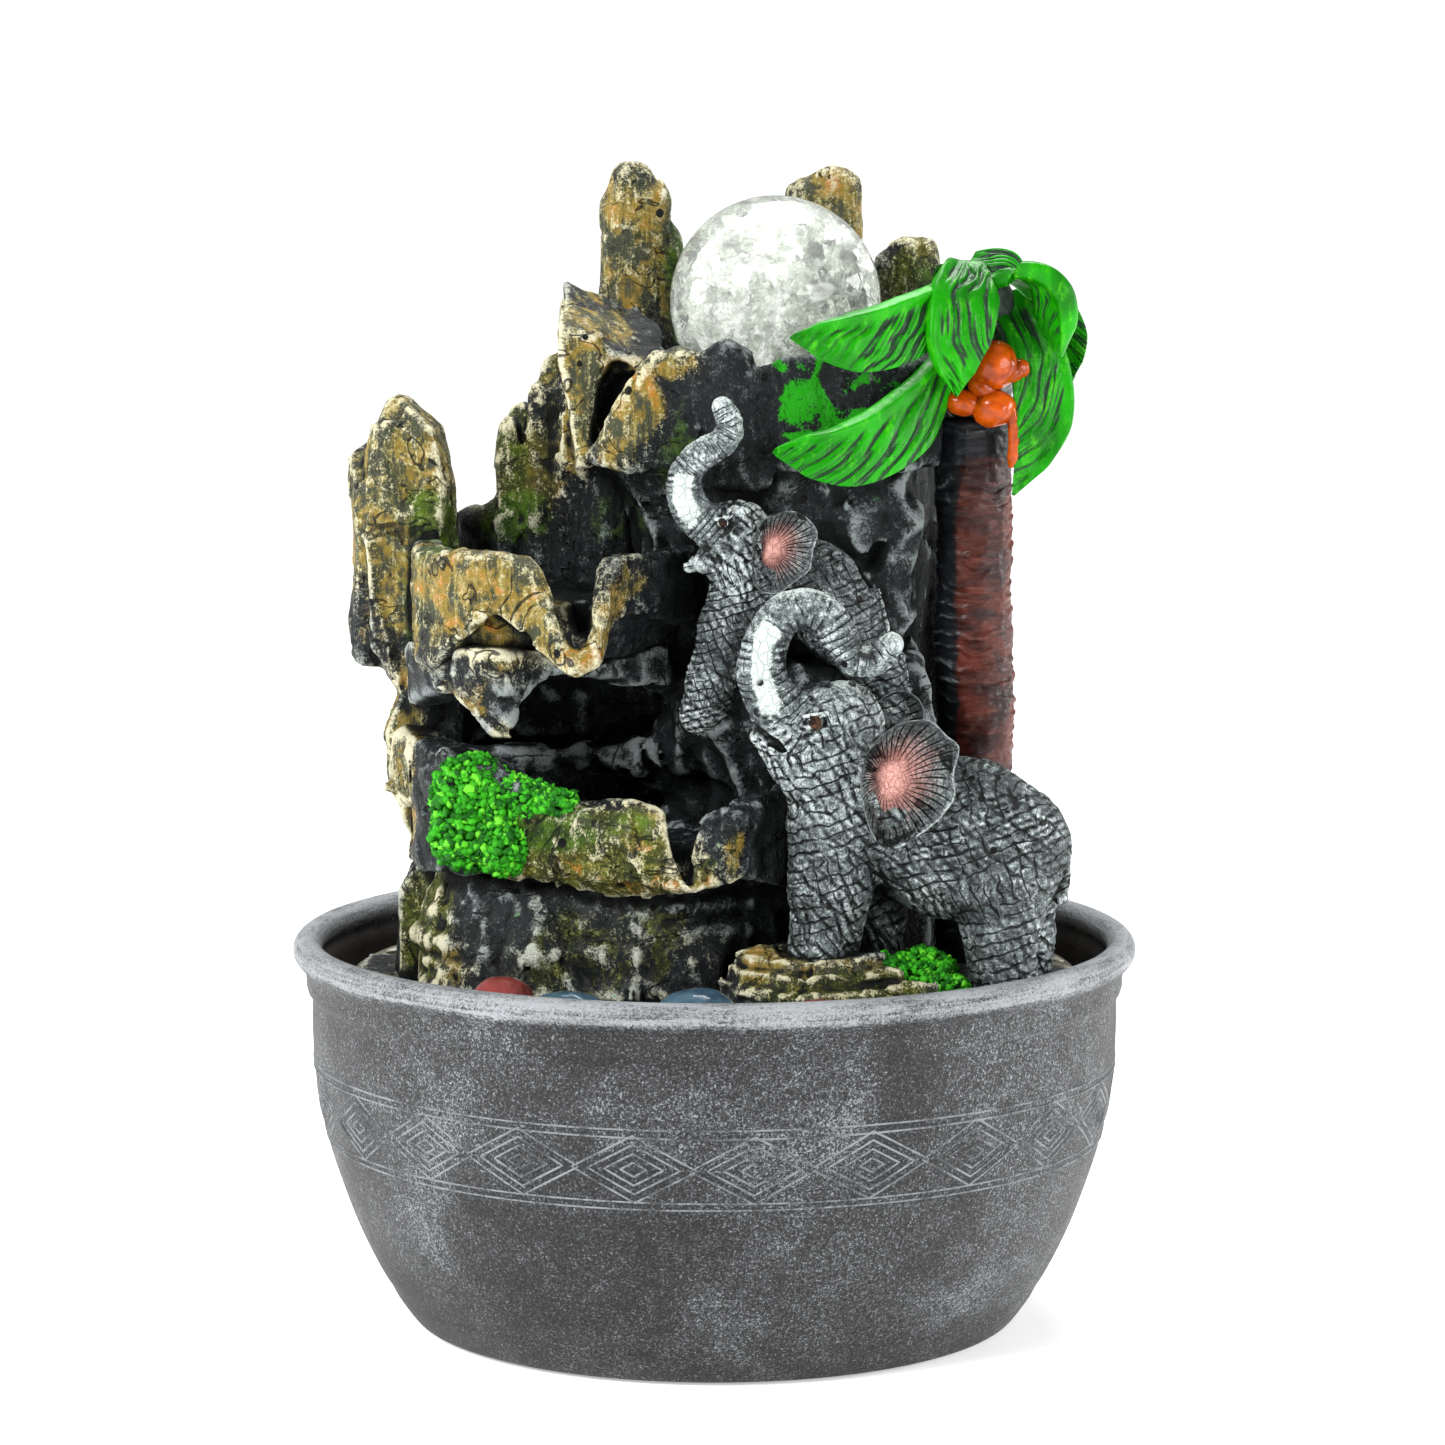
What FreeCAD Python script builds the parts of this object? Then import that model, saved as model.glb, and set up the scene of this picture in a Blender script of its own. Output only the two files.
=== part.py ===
"""Tabletop water fountain: a round bowl, a cast rockery with three spill basins, a palm and two elephants,
a crackle-glass ball that turns on a lit water cup, and the small submersible pump that feeds it.

Frame: millimetres, +Z up, the front of the fountain looks along -Y, origin at the centre of the bowl's foot.
"""

import FreeCAD, Part
import math
import os

import Sketcher
from FreeCAD import Placement, Rotation, Vector

OUT = "parts"

DIMENSIONS = [
    # bowl
    ("bowl_radius", 100.0),
    ("bowl_height", 92.2),
    ("bowl_wall", 2.6),
    ("bowl_floor", 3.0),
    ("foot_radius", 69.5),
    ("neck_radius", 95.4),
    ("rim_roll", 3.4),
    ("notch_width", 7.0),
    ("notch_depth", 7.0),
    # rockery stand and deck
    ("deck_radius", 86.0),
    ("deck_top", 82.0),
    ("deck_thick", 8.0),
    ("stand_radius", 62.0),
    ("stand_wall", 5.0),
    ("stand_gap", 0.3),
    ("arch_width", 34.0),
    ("arch_rise", 46.0),
    ("well_radius", 24.0),
    ("drain_radius", 4.0),
    # ball, its cup and its light
    ("ball_radius", 25.0),
    ("ball_x", 14.4),
    ("ball_y", 10.0),
    ("ball_height", 240.7),
    ("ball_film", 0.3),
    ("cup_radius", 19.0),
    ("cup_top", 222.0),
    ("pool_floor", 213.0),
    ("cup_stem_radius", 12.5),
    ("jet_radius", 3.0),
    ("light_top", 205.5),
    ("light_height", 9.0),
    ("light_radius", 12.0),
    ("lens_radius", 1.6),
    ("lens_circle", 8.0),
    # water tube and light lead
    ("tube_radius", 4.5),
    ("tube_bore", 3.0),
    ("lead_radius", 1.2),
    # pump
    ("pump_length", 36.0),
    ("pump_width", 32.0),
    ("pump_height", 30.0),
    ("pump_base", 8.0),
    ("pump_x", 6.0),
    ("spigot_shift", -6.0),
    ("lead_shift", 6.0),
    ("pump_y", 10.0),
    ("chamber_radius", 10.0),
    ("rotor_radius", 6.0),
    ("rotor_length", 18.0),
    ("axle_radius", 1.0),
    ("spigot_radius", 4.4),
    ("knob_radius", 4.0),
    # palm
    ("palm_radius", 9.7),
    ("palm_x", 62.0),
    ("palm_y", -3.0),
    ("palm_top", 214.0),
    ("frond_thick", 3.2),
    ("crown_radius", 8.0),
    # basins
    ("basin_wall", 5.0),
    ("upper_rim", 231.0),
    ("middle_rim", 185.5),
    ("lower_rim", 131.5),
    ("wall_top", 206.0),
    ("cavity_wall", 6.0),
]

doc = FreeCAD.newDocument("fountain")
sheet = doc.addObject("Spreadsheet::Sheet", "Sizes")
for row, (alias, value) in enumerate(DIMENSIONS, start=1):
    sheet.set(f"A{row}", alias)
    sheet.set(f"B{row}", str(value))
    sheet.setAlias(f"B{row}", alias)
doc.recompute()

parts = []


def size(alias):
    """A driving dimension, read back from the sheet."""
    return float(getattr(sheet, alias))


def keep(obj, label):
    """Marks an object as a sub-part to be written out under its label."""
    obj.Label = label
    parts.append(obj)
    return obj


def bind(obj, **expressions):
    """Ties properties of an object to expressions on the sheet."""
    for prop, expression in expressions.items():
        obj.setExpression(prop, expression)


def primitive(kind, name, at=None, **expressions):
    """A Part primitive whose sizes, and place where at is given, follow the sheet."""
    obj = doc.addObject(f"Part::{kind}", name)
    bind(obj, **expressions)
    if at:
        for axis, expression in zip("xyz", at):
            obj.setExpression(f"Placement.Base.{axis}", expression)
    return obj


def turned(obj, axis, degrees):
    """Turns a primitive about its own origin and keeps its bound place."""
    obj.Placement = Placement(obj.Placement.Base, Rotation(axis, degrees))
    return obj


def boolean(kind, name, base, *tools):
    """Part::Cut, Part::Fuse or Part::Common of a base with each tool in turn."""
    for number, tool in enumerate(tools):
        result = doc.addObject(f"Part::{kind}", f"{name}_{kind}_{number}")
        result.Base = base
        result.Tool = tool
        base = result
    return base


def solid(label, shape):
    """A sub-part whose shape is worked out below from sizes on the sheet."""
    feature = doc.addObject("Part::Feature", label)
    feature.Shape = shape
    return keep(feature, label)


# ---------------------------------------------------------------- shape helpers


def polygon(points, z):
    """A closed polygon of (x, y) points at one height."""
    ring = [Vector(x, y, z) for x, y in points]
    return Part.makePolygon(ring + ring[:1])


def rock(levels):
    """A faceted stone lofted through (z, points) levels that have as many points each."""
    return Part.makeLoft([polygon(points, z) for z, points in levels], True, True)


def around(x, y, radius, sides, turn=0.0, squash=1.0):
    """The corners of an uneven ring of stone about (x, y)."""
    step = 2 * math.pi / sides
    reach = [1.0, 0.9, 1.04, 0.94, 1.0, 0.88, 1.05, 0.95]
    return [
        (
            x + radius * reach[i % 8] * math.cos(turn + i * step),
            y + radius * squash * reach[i % 8] * math.sin(turn + i * step),
        )
        for i in range(sides)
    ]


def inset(points, amount):
    """The polygon moved in by an even amount, side by side."""
    count = len(points)
    moved = []
    for i in range(count):
        before, here, after = (Vector(*points[(i + k) % count], 0) for k in (-1, 0, 1))
        a = (here - before).normalize()
        b = (after - here).normalize()
        inward_a = Vector(-a.y, a.x, 0)
        inward_b = Vector(-b.y, b.x, 0)
        bisector = (inward_a + inward_b).normalize()
        reach = amount / max(0.5, bisector.dot(inward_a))
        moved.append((here.x + bisector.x * reach, here.y + bisector.y * reach))
    return moved


def limb(*stations):
    """A round limb through (x, y, z, radius) stations: balls at the stations, cones between them."""
    pieces = [Part.makeSphere(r, Vector(x, y, z)) for x, y, z, r in stations]
    for a, b in zip(stations, stations[1:]):
        start, end = Vector(*a[:3]), Vector(*b[:3])
        along = end - start
        low, high = a[3] * 0.985, b[3] * 0.985
        if abs(low - high) < 0.05:
            pieces.append(Part.makeCylinder(low, along.Length, start, along))
        else:
            pieces.append(Part.makeCone(low, high, along.Length, start, along))
    return pieces[0].fuse(pieces[1:]).removeSplitter()


def plate(points, thickness):
    """A flat plate with the corners given in space, thickened along its own normal."""
    ring = [Vector(*p) for p in points]
    middle = sum(ring, Vector()) * (1.0 / len(ring))
    normal = (ring[0] - middle).cross(ring[len(ring) // 3] - middle).normalize()
    flat = [p - normal * (p - middle).dot(normal) for p in ring]
    face = Part.Face(Part.makePolygon(flat + flat[:1]))
    face.translate(normal * (-thickness / 2))
    return face.extrude(normal * thickness)


def leaf(spine, widths, side, thickness):
    """A palm leaf: diamond cross-sections of the given widths along a bent spine."""
    wires = []
    last = len(spine) - 1
    for i, point in enumerate(spine):
        here = Vector(*point)
        along = Vector(*spine[min(i + 1, last)]) - Vector(*spine[max(i - 1, 0)])
        across = (Vector(*side) - along * (Vector(*side).dot(along) / along.dot(along))).normalize()
        up = along.cross(across).normalize()
        half = widths[i] / 2
        thick = thickness * (0.5 + 0.5 * min(1.0, half / 6.0)) / 2
        ring = [here + across * half, here + up * thick, here - across * half, here - up * thick]
        wires.append(Part.makePolygon(ring + ring[:1]))
    return Part.makeLoft(wires, True, True)


def wedge(x, y, heading, bottom, top, width, length):
    """A V-shaped cutter for a spout: its point at the bottom, opening upwards, driven along a heading."""
    half = width / 2
    profile = [(-1.2, bottom), (1.2, bottom), (half, top), (-half, top)]
    ring = [Vector(0, u, z) for u, z in profile]
    face = Part.Face(Part.makePolygon(ring + ring[:1]))
    cutter = face.extrude(Vector(length, 0, 0))
    cutter.Placement = Placement(Vector(x, y, 0), Rotation(Vector(0, 0, 1), heading))
    return cutter


def rounded_path(points, radius):
    """Straight runs joined by tangent arcs of one radius."""
    edges = []
    start = Vector(*points[0])
    for before, corner, after in zip(points, points[1:], points[2:]):
        corner = Vector(*corner)
        back = (Vector(*before) - corner).normalize()
        on = (Vector(*after) - corner).normalize()
        half_turn = (math.pi - back.getAngle(on)) / 2
        reach = radius * math.tan(half_turn)
        first, last = corner + back * reach, corner + on * reach
        middle = corner + (back + on).normalize() * (radius / math.cos(half_turn) - radius)
        edges.append(Part.LineSegment(start, first).toShape())
        edges.append(Part.Arc(first, middle, last).toShape())
        start = last
    edges.append(Part.LineSegment(start, Vector(*points[-1])).toShape())
    return Part.Wire(edges)


def pipe(path, radius):
    """A round bar swept along a wire."""
    start = path.Vertexes[0].Point
    heading = path.Edges[0].tangentAt(path.Edges[0].FirstParameter)
    circle = Part.Wire(Part.makeCircle(radius, start, heading))
    return path.makePipeShell([circle], True, True)


# ---------------------------------------------------------------- part design helpers


def origin_plane(body, role):
    """One of a body's own origin planes."""
    return next(f for f in body.Origin.OriginFeatures if f.Role == role)


def body_with(label):
    body = doc.addObject("PartDesign::Body", label)
    return keep(body, label)


def sketch_on(body, name, role, offset=0.0):
    """A sketch on one of the body's origin planes, moved along its normal."""
    sketch = body.newObject("Sketcher::SketchObject", name)
    sketch.AttachmentSupport = (origin_plane(body, role), [""])
    sketch.MapMode = "FlatFace"
    sketch.AttachmentOffset = Placement(Vector(0, 0, offset), Rotation())
    return sketch


def outline(sketch, *pieces):
    """A closed profile: each piece is two points for a line or three for an arc, end to end."""
    for piece in pieces:
        points = [Vector(a, b, 0) for a, b in piece]
        curve = Part.LineSegment(*points) if len(points) == 2 else Part.Arc(*points)
        sketch.addGeometry(curve, False)


def revolve(body, sketch, name="turning"):
    """A full turn of a sketch about its own vertical axis."""
    feature = body.newObject("PartDesign::Revolution", name)
    feature.Profile = sketch
    feature.ReferenceAxis = (sketch, ["V_Axis"])
    feature.Angle = 360.0
    return feature


def circle_in(sketch, x, y, radius_alias, name):
    """A circle whose radius follows the sheet."""
    number = sketch.addGeometry(Part.Circle(Vector(x, y, 0), Vector(0, 0, 1), size(radius_alias)), False)
    constraint = sketch.addConstraint(Sketcher.Constraint("Radius", number, size(radius_alias)))
    sketch.renameConstraint(constraint, name)
    sketch.setExpression(f"Constraints.{name}", f"Sizes.{radius_alias}")
    sketch.addConstraint(Sketcher.Constraint("DistanceX", -1, 1, number, 3, x)) if x else None
    sketch.addConstraint(Sketcher.Constraint("DistanceY", -1, 1, number, 3, y)) if y else None
    return number


def pocket_through(body, sketch, name="pocket"):
    """A pocket right through, both ways from its sketch."""
    feature = body.newObject("PartDesign::Pocket", name)
    feature.Profile = sketch
    feature.Type = "ThroughAll"
    feature.Midplane = True
    return feature


# ---------------------------------------------------------------- bowl


def make_bowl():
    """A turned bowl: flat foot, full belly, straight neck and a rolled rim, with a notch for the lead."""
    body = body_with("bowl")
    sketch = sketch_on(body, "bowl_profile", "XZ_Plane")
    wall, floor = size("bowl_wall"), size("bowl_floor")
    foot, neck = size("foot_radius"), size("neck_radius")
    top, outer, roll = size("bowl_height"), size("bowl_radius"), size("rim_roll")
    neck_low, neck_high = 62.0, 79.0
    foot_corner = (76.0, 5.6)
    rim_side = (outer, top - roll)
    rim_crown = (outer - roll, top)
    rim_inside = (outer - 2 * roll, top - roll)
    outline(
        sketch,
        [(0, 0), (foot, 0)],
        [(foot, 0), (foot + 4.0, 1.9), foot_corner],
        [foot_corner, (88.0, 30.0), (neck, neck_low)],
        [(neck, neck_low), (neck, neck_high)],
        [(neck, neck_high), (neck + 1.0, neck_high + 3.4), (rim_side[0] - 1.0, top - 2 * roll)],
        [(rim_side[0] - 1.0, top - 2 * roll), rim_side],
        [rim_side, (outer - 0.3 * roll, top - 0.3 * roll), rim_crown],
        [rim_crown, (outer - 1.7 * roll, top - 0.3 * roll), rim_inside],
        [rim_inside, (neck - wall, neck_high)],
        [(neck - wall, neck_high), (neck - wall, neck_low)],
        [(neck - wall, neck_low), (88.0 - wall * 0.94, 30.0 + wall * 0.35), (76.0 - wall, 5.6 + wall)],
        [(76.0 - wall, 5.6 + wall), (foot + 1.0, floor + 1.5), (foot - wall, floor)],
        [(foot - wall, floor), (0, floor)],
        [(0, floor), (0, 0)],
    )
    revolve(body, sketch)
    doc.recompute()
    notch = sketch_on(body, "notch_profile", "XZ_Plane", -outer)
    half, depth = size("notch_width") / 2, size("notch_depth")
    outline(
        notch,
        [(-half, top + 2), (-half, top - depth + half)],
        [(-half, top - depth + half), (0, top - depth), (half, top - depth + half)],
        [(half, top - depth + half), (half, top + 2)],
        [(half, top + 2), (-half, top + 2)],
    )
    whole = body.Shape.Volume
    cut = body.newObject("PartDesign::Pocket", "lead_notch")
    cut.Profile = notch
    cut.Length = 22.0
    cut.Midplane = True
    doc.recompute()
    if body.Shape.Volume > whole - 50:
        raise RuntimeError("the lead notch cut nothing")
    return body


# ---------------------------------------------------------------- stand and deck


def make_deck():
    """The cast deck: a round slab on a hollow drum with four arches, a well for the tube and four drains."""
    body = body_with("rock_deck")
    top, thick = size("deck_top"), size("deck_thick")
    drum, wall = size("stand_radius"), size("stand_wall")
    base = size("bowl_floor") + size("stand_gap")
    edge = size("deck_radius")
    sketch = sketch_on(body, "deck_profile", "XZ_Plane")
    well = size("well_radius")
    corners = [
        (well, top),
        (edge, top),
        (edge, top - thick),
        (drum, top - thick),
        (drum, base),
        (drum - wall, base),
        (drum - wall, top - thick),
        (well, top - thick),
    ]
    outline(sketch, *zip(corners, corners[1:] + corners[:1]))
    revolve(body, sketch)
    doc.recompute()
    half, rise = size("arch_width") / 2, size("arch_rise")
    for role, name in (("XZ_Plane", "arches_across"), ("YZ_Plane", "arches_along")):
        arch = sketch_on(body, name, role)
        outline(
            arch,
            [(-half, base - 1), (half, base - 1)],
            [(half, base - 1), (half, base + rise - half)],
            [(half, base + rise - half), (0, base + rise), (-half, base + rise - half)],
            [(-half, base + rise - half), (-half, base - 1)],
        )
        pocket_through(body, arch, name + "_cut")
        doc.recompute()
    drains = sketch_on(body, "drains", "XY_Plane")
    for number, (x, y) in enumerate([(-72, -34), (-40, -70), (44, -67), (76, 26), (-76, 24)]):
        circle_in(drains, x, y, "drain_radius", f"drain{number}")
    whole = body.Shape.Volume
    pocket_through(body, drains, "drain_holes")
    doc.recompute()
    if body.Shape.Volume > whole - 100:
        raise RuntimeError("the drains cut nothing")
    return body


# ---------------------------------------------------------------- rockery


def basin(outer_levels, floor, rim, spouts, wall_name="basin_wall"):
    """A stone tray: the outer stone less a pool that is one wall thickness in, less its spouts."""
    stone = rock(outer_levels)
    top_points = outer_levels[-1][1]
    thick = size(wall_name)
    pool = rock(
        [(floor, inset(top_points, thick + 2.0)), (rim + 4.0, inset(top_points, thick - 0.5))]
    )
    stone = stone.cut(pool)
    for spout in spouts:
        stone = stone.cut(spout)
    return stone.removeSplitter()


def upper_basin_shape():
    rim = size("upper_rim")
    outline_low = [
        (-31, -18), (-12, -22), (10, -24), (43, -22),
        (52, 4), (50, 34), (18, 46), (-22, 44), (-33, 14),
    ]
    outline_top = [
        (-33, -20), (-14, -24), (8, -25), (44, -23),
        (53, 4), (50, 36), (18, 48), (-24, 46), (-35, 14),
    ]
    floor = size("pool_floor")
    spout = wedge(-12, -4, 222, 208.5, rim + 3, 13, 34)
    stone = basin([(size("wall_top"), outline_low), (rim, outline_top)], floor, rim, [spout])
    x, y = size("ball_x"), size("ball_y")
    seat = Part.makeCylinder(size("cup_stem_radius") + 0.3, 20, Vector(x, y, floor - 12))
    return stone.cut(seat)


def middle_basin_shape():
    rim = size("middle_rim")
    top = [(-67, -30), (-42, -48), (-28, -57), (-18, -47), (-4, -30), (-4, 6), (-64, 8)]
    low = [(-61, -22), (-42, -35), (-30, -42), (-22, -36), (-9, -22), (-9, 6), (-60, 8)]
    spout = wedge(-30, -36, 276, 164, rim + 3, 17, 26)
    return basin([(160, low), (rim - 8, top), (rim, top)], 173, rim, [spout])


def lower_basin_shape():
    rim = size("lower_rim")
    top = [(-66, -30), (-50, -52), (-30, -61), (-6, -66), (6, -56), (18, -48), (20, -16), (-62, -6)]
    low = [(-58, -24), (-46, -42), (-28, -50), (-6, -53), (2, -46), (14, -40), (16, -16), (-58, -6)]
    spout = wedge(-12, -46, 290, 115, rim + 3, 14, 26)
    return basin([(108, low), (rim - 9, top), (rim, top)], 119, rim, [spout])


def cliff_foot_shape():
    top = [(-58, -24), (-46, -42), (-28, -50), (-6, -53), (2, -46), (14, -40), (16, -16), (-58, -6)]
    low = [(-64, -24), (-50, -44), (-30, -54), (-6, -57), (6, -50), (16, -42), (18, -14), (-62, -6)]
    middle = [(-55, -22), (-43, -39), (-26, -47), (-6, -50), (2, -44), (13, -37), (15, -15), (-55, -6)]
    return rock([(size("deck_top"), low), (96, middle), (108, top)])


def pillar_shape():
    """The tall stone at the left: a slab on a waisted foot."""
    return rock(
        [
            (size("deck_top"), around(-66, 2, 12, 6)),
            (112, around(-66, 2, 8.5, 6)),
            (138, around(-70, 0, 11.5, 6)),
            (148, around(-69, 1, 9.5, 6)),
            (157, around(-73, 1, 12, 6)),
            (196, around(-75, 2, 12.5, 6)),
            (214, around(-76, 3, 8.5, 6)),
            (220, around(-77, 3, 3.5, 6)),
        ]
    )


def columns_shape():
    """Four fluted stones that step up from the pillar to the ball."""
    steps = [(-56, 20, 9, 160, 197), (-46, 17, 8, 160, 217), (-38, 12, 8, 186, 229), (-32, 4, 7, 190, 243)]
    stones = []
    for x, y, radius, low, high in steps:
        stones.append(
            rock(
                [
                    (low, around(x, y, radius, 6, 0.3)),
                    (high - 6, around(x, y, radius * 0.9, 6, 0.3)),
                    (high, around(x, y, radius * 0.45, 6, 0.3)),
                ]
            )
        )
    return stones[0].fuse(stones[1:]).removeSplitter()


def spire_shape(x, y, radius, low, high, squash):
    """A standing stone that draws in to a blunt tip."""
    span = high - low
    return rock(
        [
            (low, around(x, y, radius, 7, 0.2, squash)),
            (low + span * 0.45, around(x, y, radius * 0.88, 7, 0.2, squash)),
            (low + span * 0.85, around(x, y, radius * 0.55, 7, 0.2, squash)),
            (high, around(x, y, radius * 0.2, 7, 0.2, squash)),
        ]
    )


def wall_shape():
    """The hollow cliff behind the basins, open below, with a round hole in its roof for the light."""
    low = [
        (-62, 2), (-10, 2), (-2, -12), (48, -14), (52, 12),
        (74, 14), (70, 40), (40, 60), (-34, 60), (-62, 38),
    ]
    mid = [
        (-60, 8), (-12, 6), (-4, -8), (46, -8), (50, 12),
        (66, 14), (64, 38), (38, 56), (-32, 56), (-58, 36),
    ]
    top = [
        (-42, 10), (-26, -14), (-8, -18), (42, -18), (49, 6),
        (54, 14), (52, 36), (32, 50), (-26, 50), (-42, 34),
    ]
    roof = size("wall_top")
    thick = size("cavity_wall")
    stone = rock([(size("deck_top"), low), (150, mid), (roof, top)])
    hollow = rock(
        [
            (size("deck_top") - 1, inset(low, thick)),
            (150, inset(mid, thick)),
            (roof - thick, inset(top, thick)),
        ]
    )
    x, y = size("ball_x"), size("ball_y")
    hole = Part.makeCylinder(size("cup_stem_radius") + 0.3, 40, Vector(x, y, roof - 20))
    return stone.cut([hollow, hole])


def slab_shape():
    """The low sloping slab that the elephants stand on."""
    low = [(8, -66), (34, -76), (60, -60), (78, -30), (70, -16), (20, -15), (20, -44)]
    top = [(10, -64), (34, -73), (58, -58), (75, -30), (68, -17), (20, -16), (20, -44)]
    heights = [94.5, 92.0, 88.0, 86.0, 88.0, 94.0, 95.0]
    base = size("deck_top")
    ring_low = [Vector(x, y, base) for x, y in low]
    ring_top = [Vector(x, y, z) for (x, y), z in zip(top, heights)]
    faces = [Part.Face(Part.makePolygon(ring_low + ring_low[:1]))]
    centre = sum(ring_top, Vector()) * (1.0 / len(ring_top))
    count = len(low)
    for i in range(count):
        a, b = ring_low[i], ring_low[(i + 1) % count]
        c, d = ring_top[(i + 1) % count], ring_top[i]
        faces.append(Part.Face(Part.makePolygon([a, b, c, a])))
        faces.append(Part.Face(Part.makePolygon([a, c, d, a])))
        faces.append(Part.Face(Part.makePolygon([d, c, centre, d])))
    return Part.Solid(Part.Shell(faces))


# ---------------------------------------------------------------- elephants


def adult_shape():
    """The standing adult: barrel body, raised head and a trunk that loops over and back."""
    trunk = limb(
        (16, -54, 152, 6.0),
        (12, -56, 164, 4.6),
        (15, -56, 174, 4.0),
        (22, -55, 177, 3.8),
        (29, -54, 172, 3.8),
        (31, -53, 164, 3.6),
        (37, -53, 161, 3.2),
        (41, -54, 166, 2.6),
    )
    body = limb((38, -50, 122, 16.0), (52, -49, 123, 16.5), (66, -48, 119, 15.0))
    head = limb((38, -51, 132, 12.0), (24, -52, 148, 10.5), (18, -53, 145, 8.0))
    jaw = limb((24, -52, 142, 6.0), (12.5, -55, 146, 2.2))
    front_near = limb((32, -55, 118, 9.5), (27, -56, 104, 7.6), (26, -55, 98, 8.0))
    front_far = limb((33, -43, 118, 9.0), (34, -40, 104, 7.0), (34, -38, 98, 7.2))
    hind_near = limb((65, -52, 112, 11.0), (62, -53, 98, 8.2), (62, -52, 93, 8.6))
    hind_far = limb((68, -42, 112, 10.5), (70, -38, 98, 7.8), (70, -36, 92, 8.0))
    tail = limb((78, -46, 126, 2.2), (80.5, -46, 118, 1.8), (80, -47, 111, 2.4))
    pieces = [body, head, trunk, jaw, front_near, front_far, hind_near, hind_far, tail]
    whole = pieces[0].fuse(pieces[1:])
    floor_cut = Part.makeBox(120, 120, 20, Vector(-10, -110, size("deck_top") - 18))
    return whole.cut(floor_cut).removeSplitter()


def adult_ears_shape():
    near = plate(
        [(32, -64, 146), (44, -68, 153), (53, -68, 149), (55, -68, 140),
         (47, -68, 128), (38, -66, 121), (32, -64, 130)],
        2.6,
    )
    far = plate(
        [(32, -38, 148), (42, -33, 154), (52, -31, 150), (54, -31, 141),
         (46, -32, 130), (38, -34, 124), (32, -37, 132)],
        2.6,
    )
    return near, far


def calf_shape():
    """The calf climbing behind: head up, trunk raised in an S, forefoot on a boulder."""
    trunk = limb(
        (-2, -34, 193, 5.0),
        (-6.5, -35, 201, 3.6),
        (-6.5, -35, 208, 3.0),
        (0, -34, 212, 2.6),
        (4, -33, 216, 2.4),
        (1.5, -33, 221, 1.8),
    )
    head = limb((12, -28, 182, 9.5), (2, -32, 189, 8.5), (-2, -33, 184, 6.0))
    body = limb((14, -24, 176, 12.0), (30, -21, 170, 12.0))
    front_near = limb((8, -30, 172, 7.5), (0, -36, 162, 5.6), (0, -37, 152, 5.6))
    front_far = limb((12, -20, 170, 7.0), (6, -20, 158, 5.4))
    hind_near = limb((32, -26, 166, 9.0), (42, -32, 154, 6.0), (45, -34, 146, 6.0))
    pieces = [body, head, trunk, front_near, front_far, hind_near]
    return pieces[0].fuse(pieces[1:]).removeSplitter()


def calf_ear_shape():
    return plate(
        [(9, -40, 186), (12, -41, 195), (18, -41, 197), (24, -40, 194),
         (24, -40, 186), (18, -41, 180), (10, -41, 179)],
        2.4,
    )


def boulder_shape():
    """The stone under the calf and behind the adult's head."""
    return rock(
        [
            (size("deck_top"), [(16, -15), (20, -30), (40, -31), (50, -28), (50, -15)]),
            (146, [(-8, -9), (-4, -44), (18, -36), (50, -36), (50, -9)]),
            (160, [(-8, -9), (2, -26), (20, -30), (46, -26), (48, -9)]),
        ]
    )


# ---------------------------------------------------------------- palm

FRONDS = {
    "upper_left": (
        [(55, -18, 243), (45, -31, 237), (32, -39, 234), (17.5, -43, 235)],
        [8, 14, 13, 3], (0, 0.35, 1)),
    "lower_left": (
        [(54, -17, 228), (46, -30, 216), (31, -41, 208.6), (13.5, -46, 209.5)],
        [8, 14, 13, 4], (0, 0.3, 1)),
    "front": ([(58, -15, 251), (57, -25, 244), (55, -29, 233), (55, -27.5, 221)], [8, 15, 14, 3], (1, 0, 0)),
    "upper_right": (
        [(60, -11, 250), (69, -15, 248.5), (76.5, -18, 242), (79.5, -18, 230)],
        [8, 14, 15, 4], (-1, 1, 0.6)),
    "lower_right": (
        [(68, -10, 241), (75, -15, 229), (76, -17, 214), (69.5, -16, 197.5)],
        [8, 13, 14, 4], (1, 0.6, 0.3)),
    "back": ([(60, 2, 250), (60, 14, 247), (58, 25, 238), (56, 31, 226)], [8, 15, 14, 3], (1, 0, 0)),
    "back_right": ([(66, 0, 249), (76, 8, 244), (83, 14, 233), (85, 17, 221)], [8, 14, 13, 3], (-1, 1, 0.3)),
}
COCONUTS = [
    (64.5, -19.5, 227.4, 5.2), (57.8, -19, 218.9, 3.6),
    (64.5, -19, 217.4, 4.8), (70.4, -17.5, 226.7, 2.4),
]


def palm_trunk_shape():
    """A slightly leaning stem, ringed like cut bark, from the deck to the crown."""
    x, y, radius = size("palm_x"), size("palm_y"), size("palm_radius")
    base, top = size("deck_top"), size("palm_top")
    rings = 9
    wires = []
    for i in range(rings + 1):
        share = i / rings
        wide = radius * (1.06 - 0.08 * share + 0.02 * (i % 2))
        centre = Vector(x - 1.5 * share, y - 3.0 * share, base + (top - base) * share)
        wires.append(Part.Wire(Part.makeCircle(wide, centre, Vector(0, 0, 1))))
    return Part.makeLoft(wires, True, True)


def crown_shape():
    """The heart of the palm, where the leaves meet."""
    x, y, top = size("palm_x") - 1.5, size("palm_y") - 3.0, size("palm_top")
    r = size("crown_radius")
    neck = Part.makeCone(size("palm_radius") * 0.95, r * 0.8, 24, Vector(x, y, top))
    heart = Part.makeSphere(r * 1.15, Vector(x, y - 2, top + 28))
    return neck.fuse(heart).removeSplitter()


# ---------------------------------------------------------------- ball, cup, light


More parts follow.
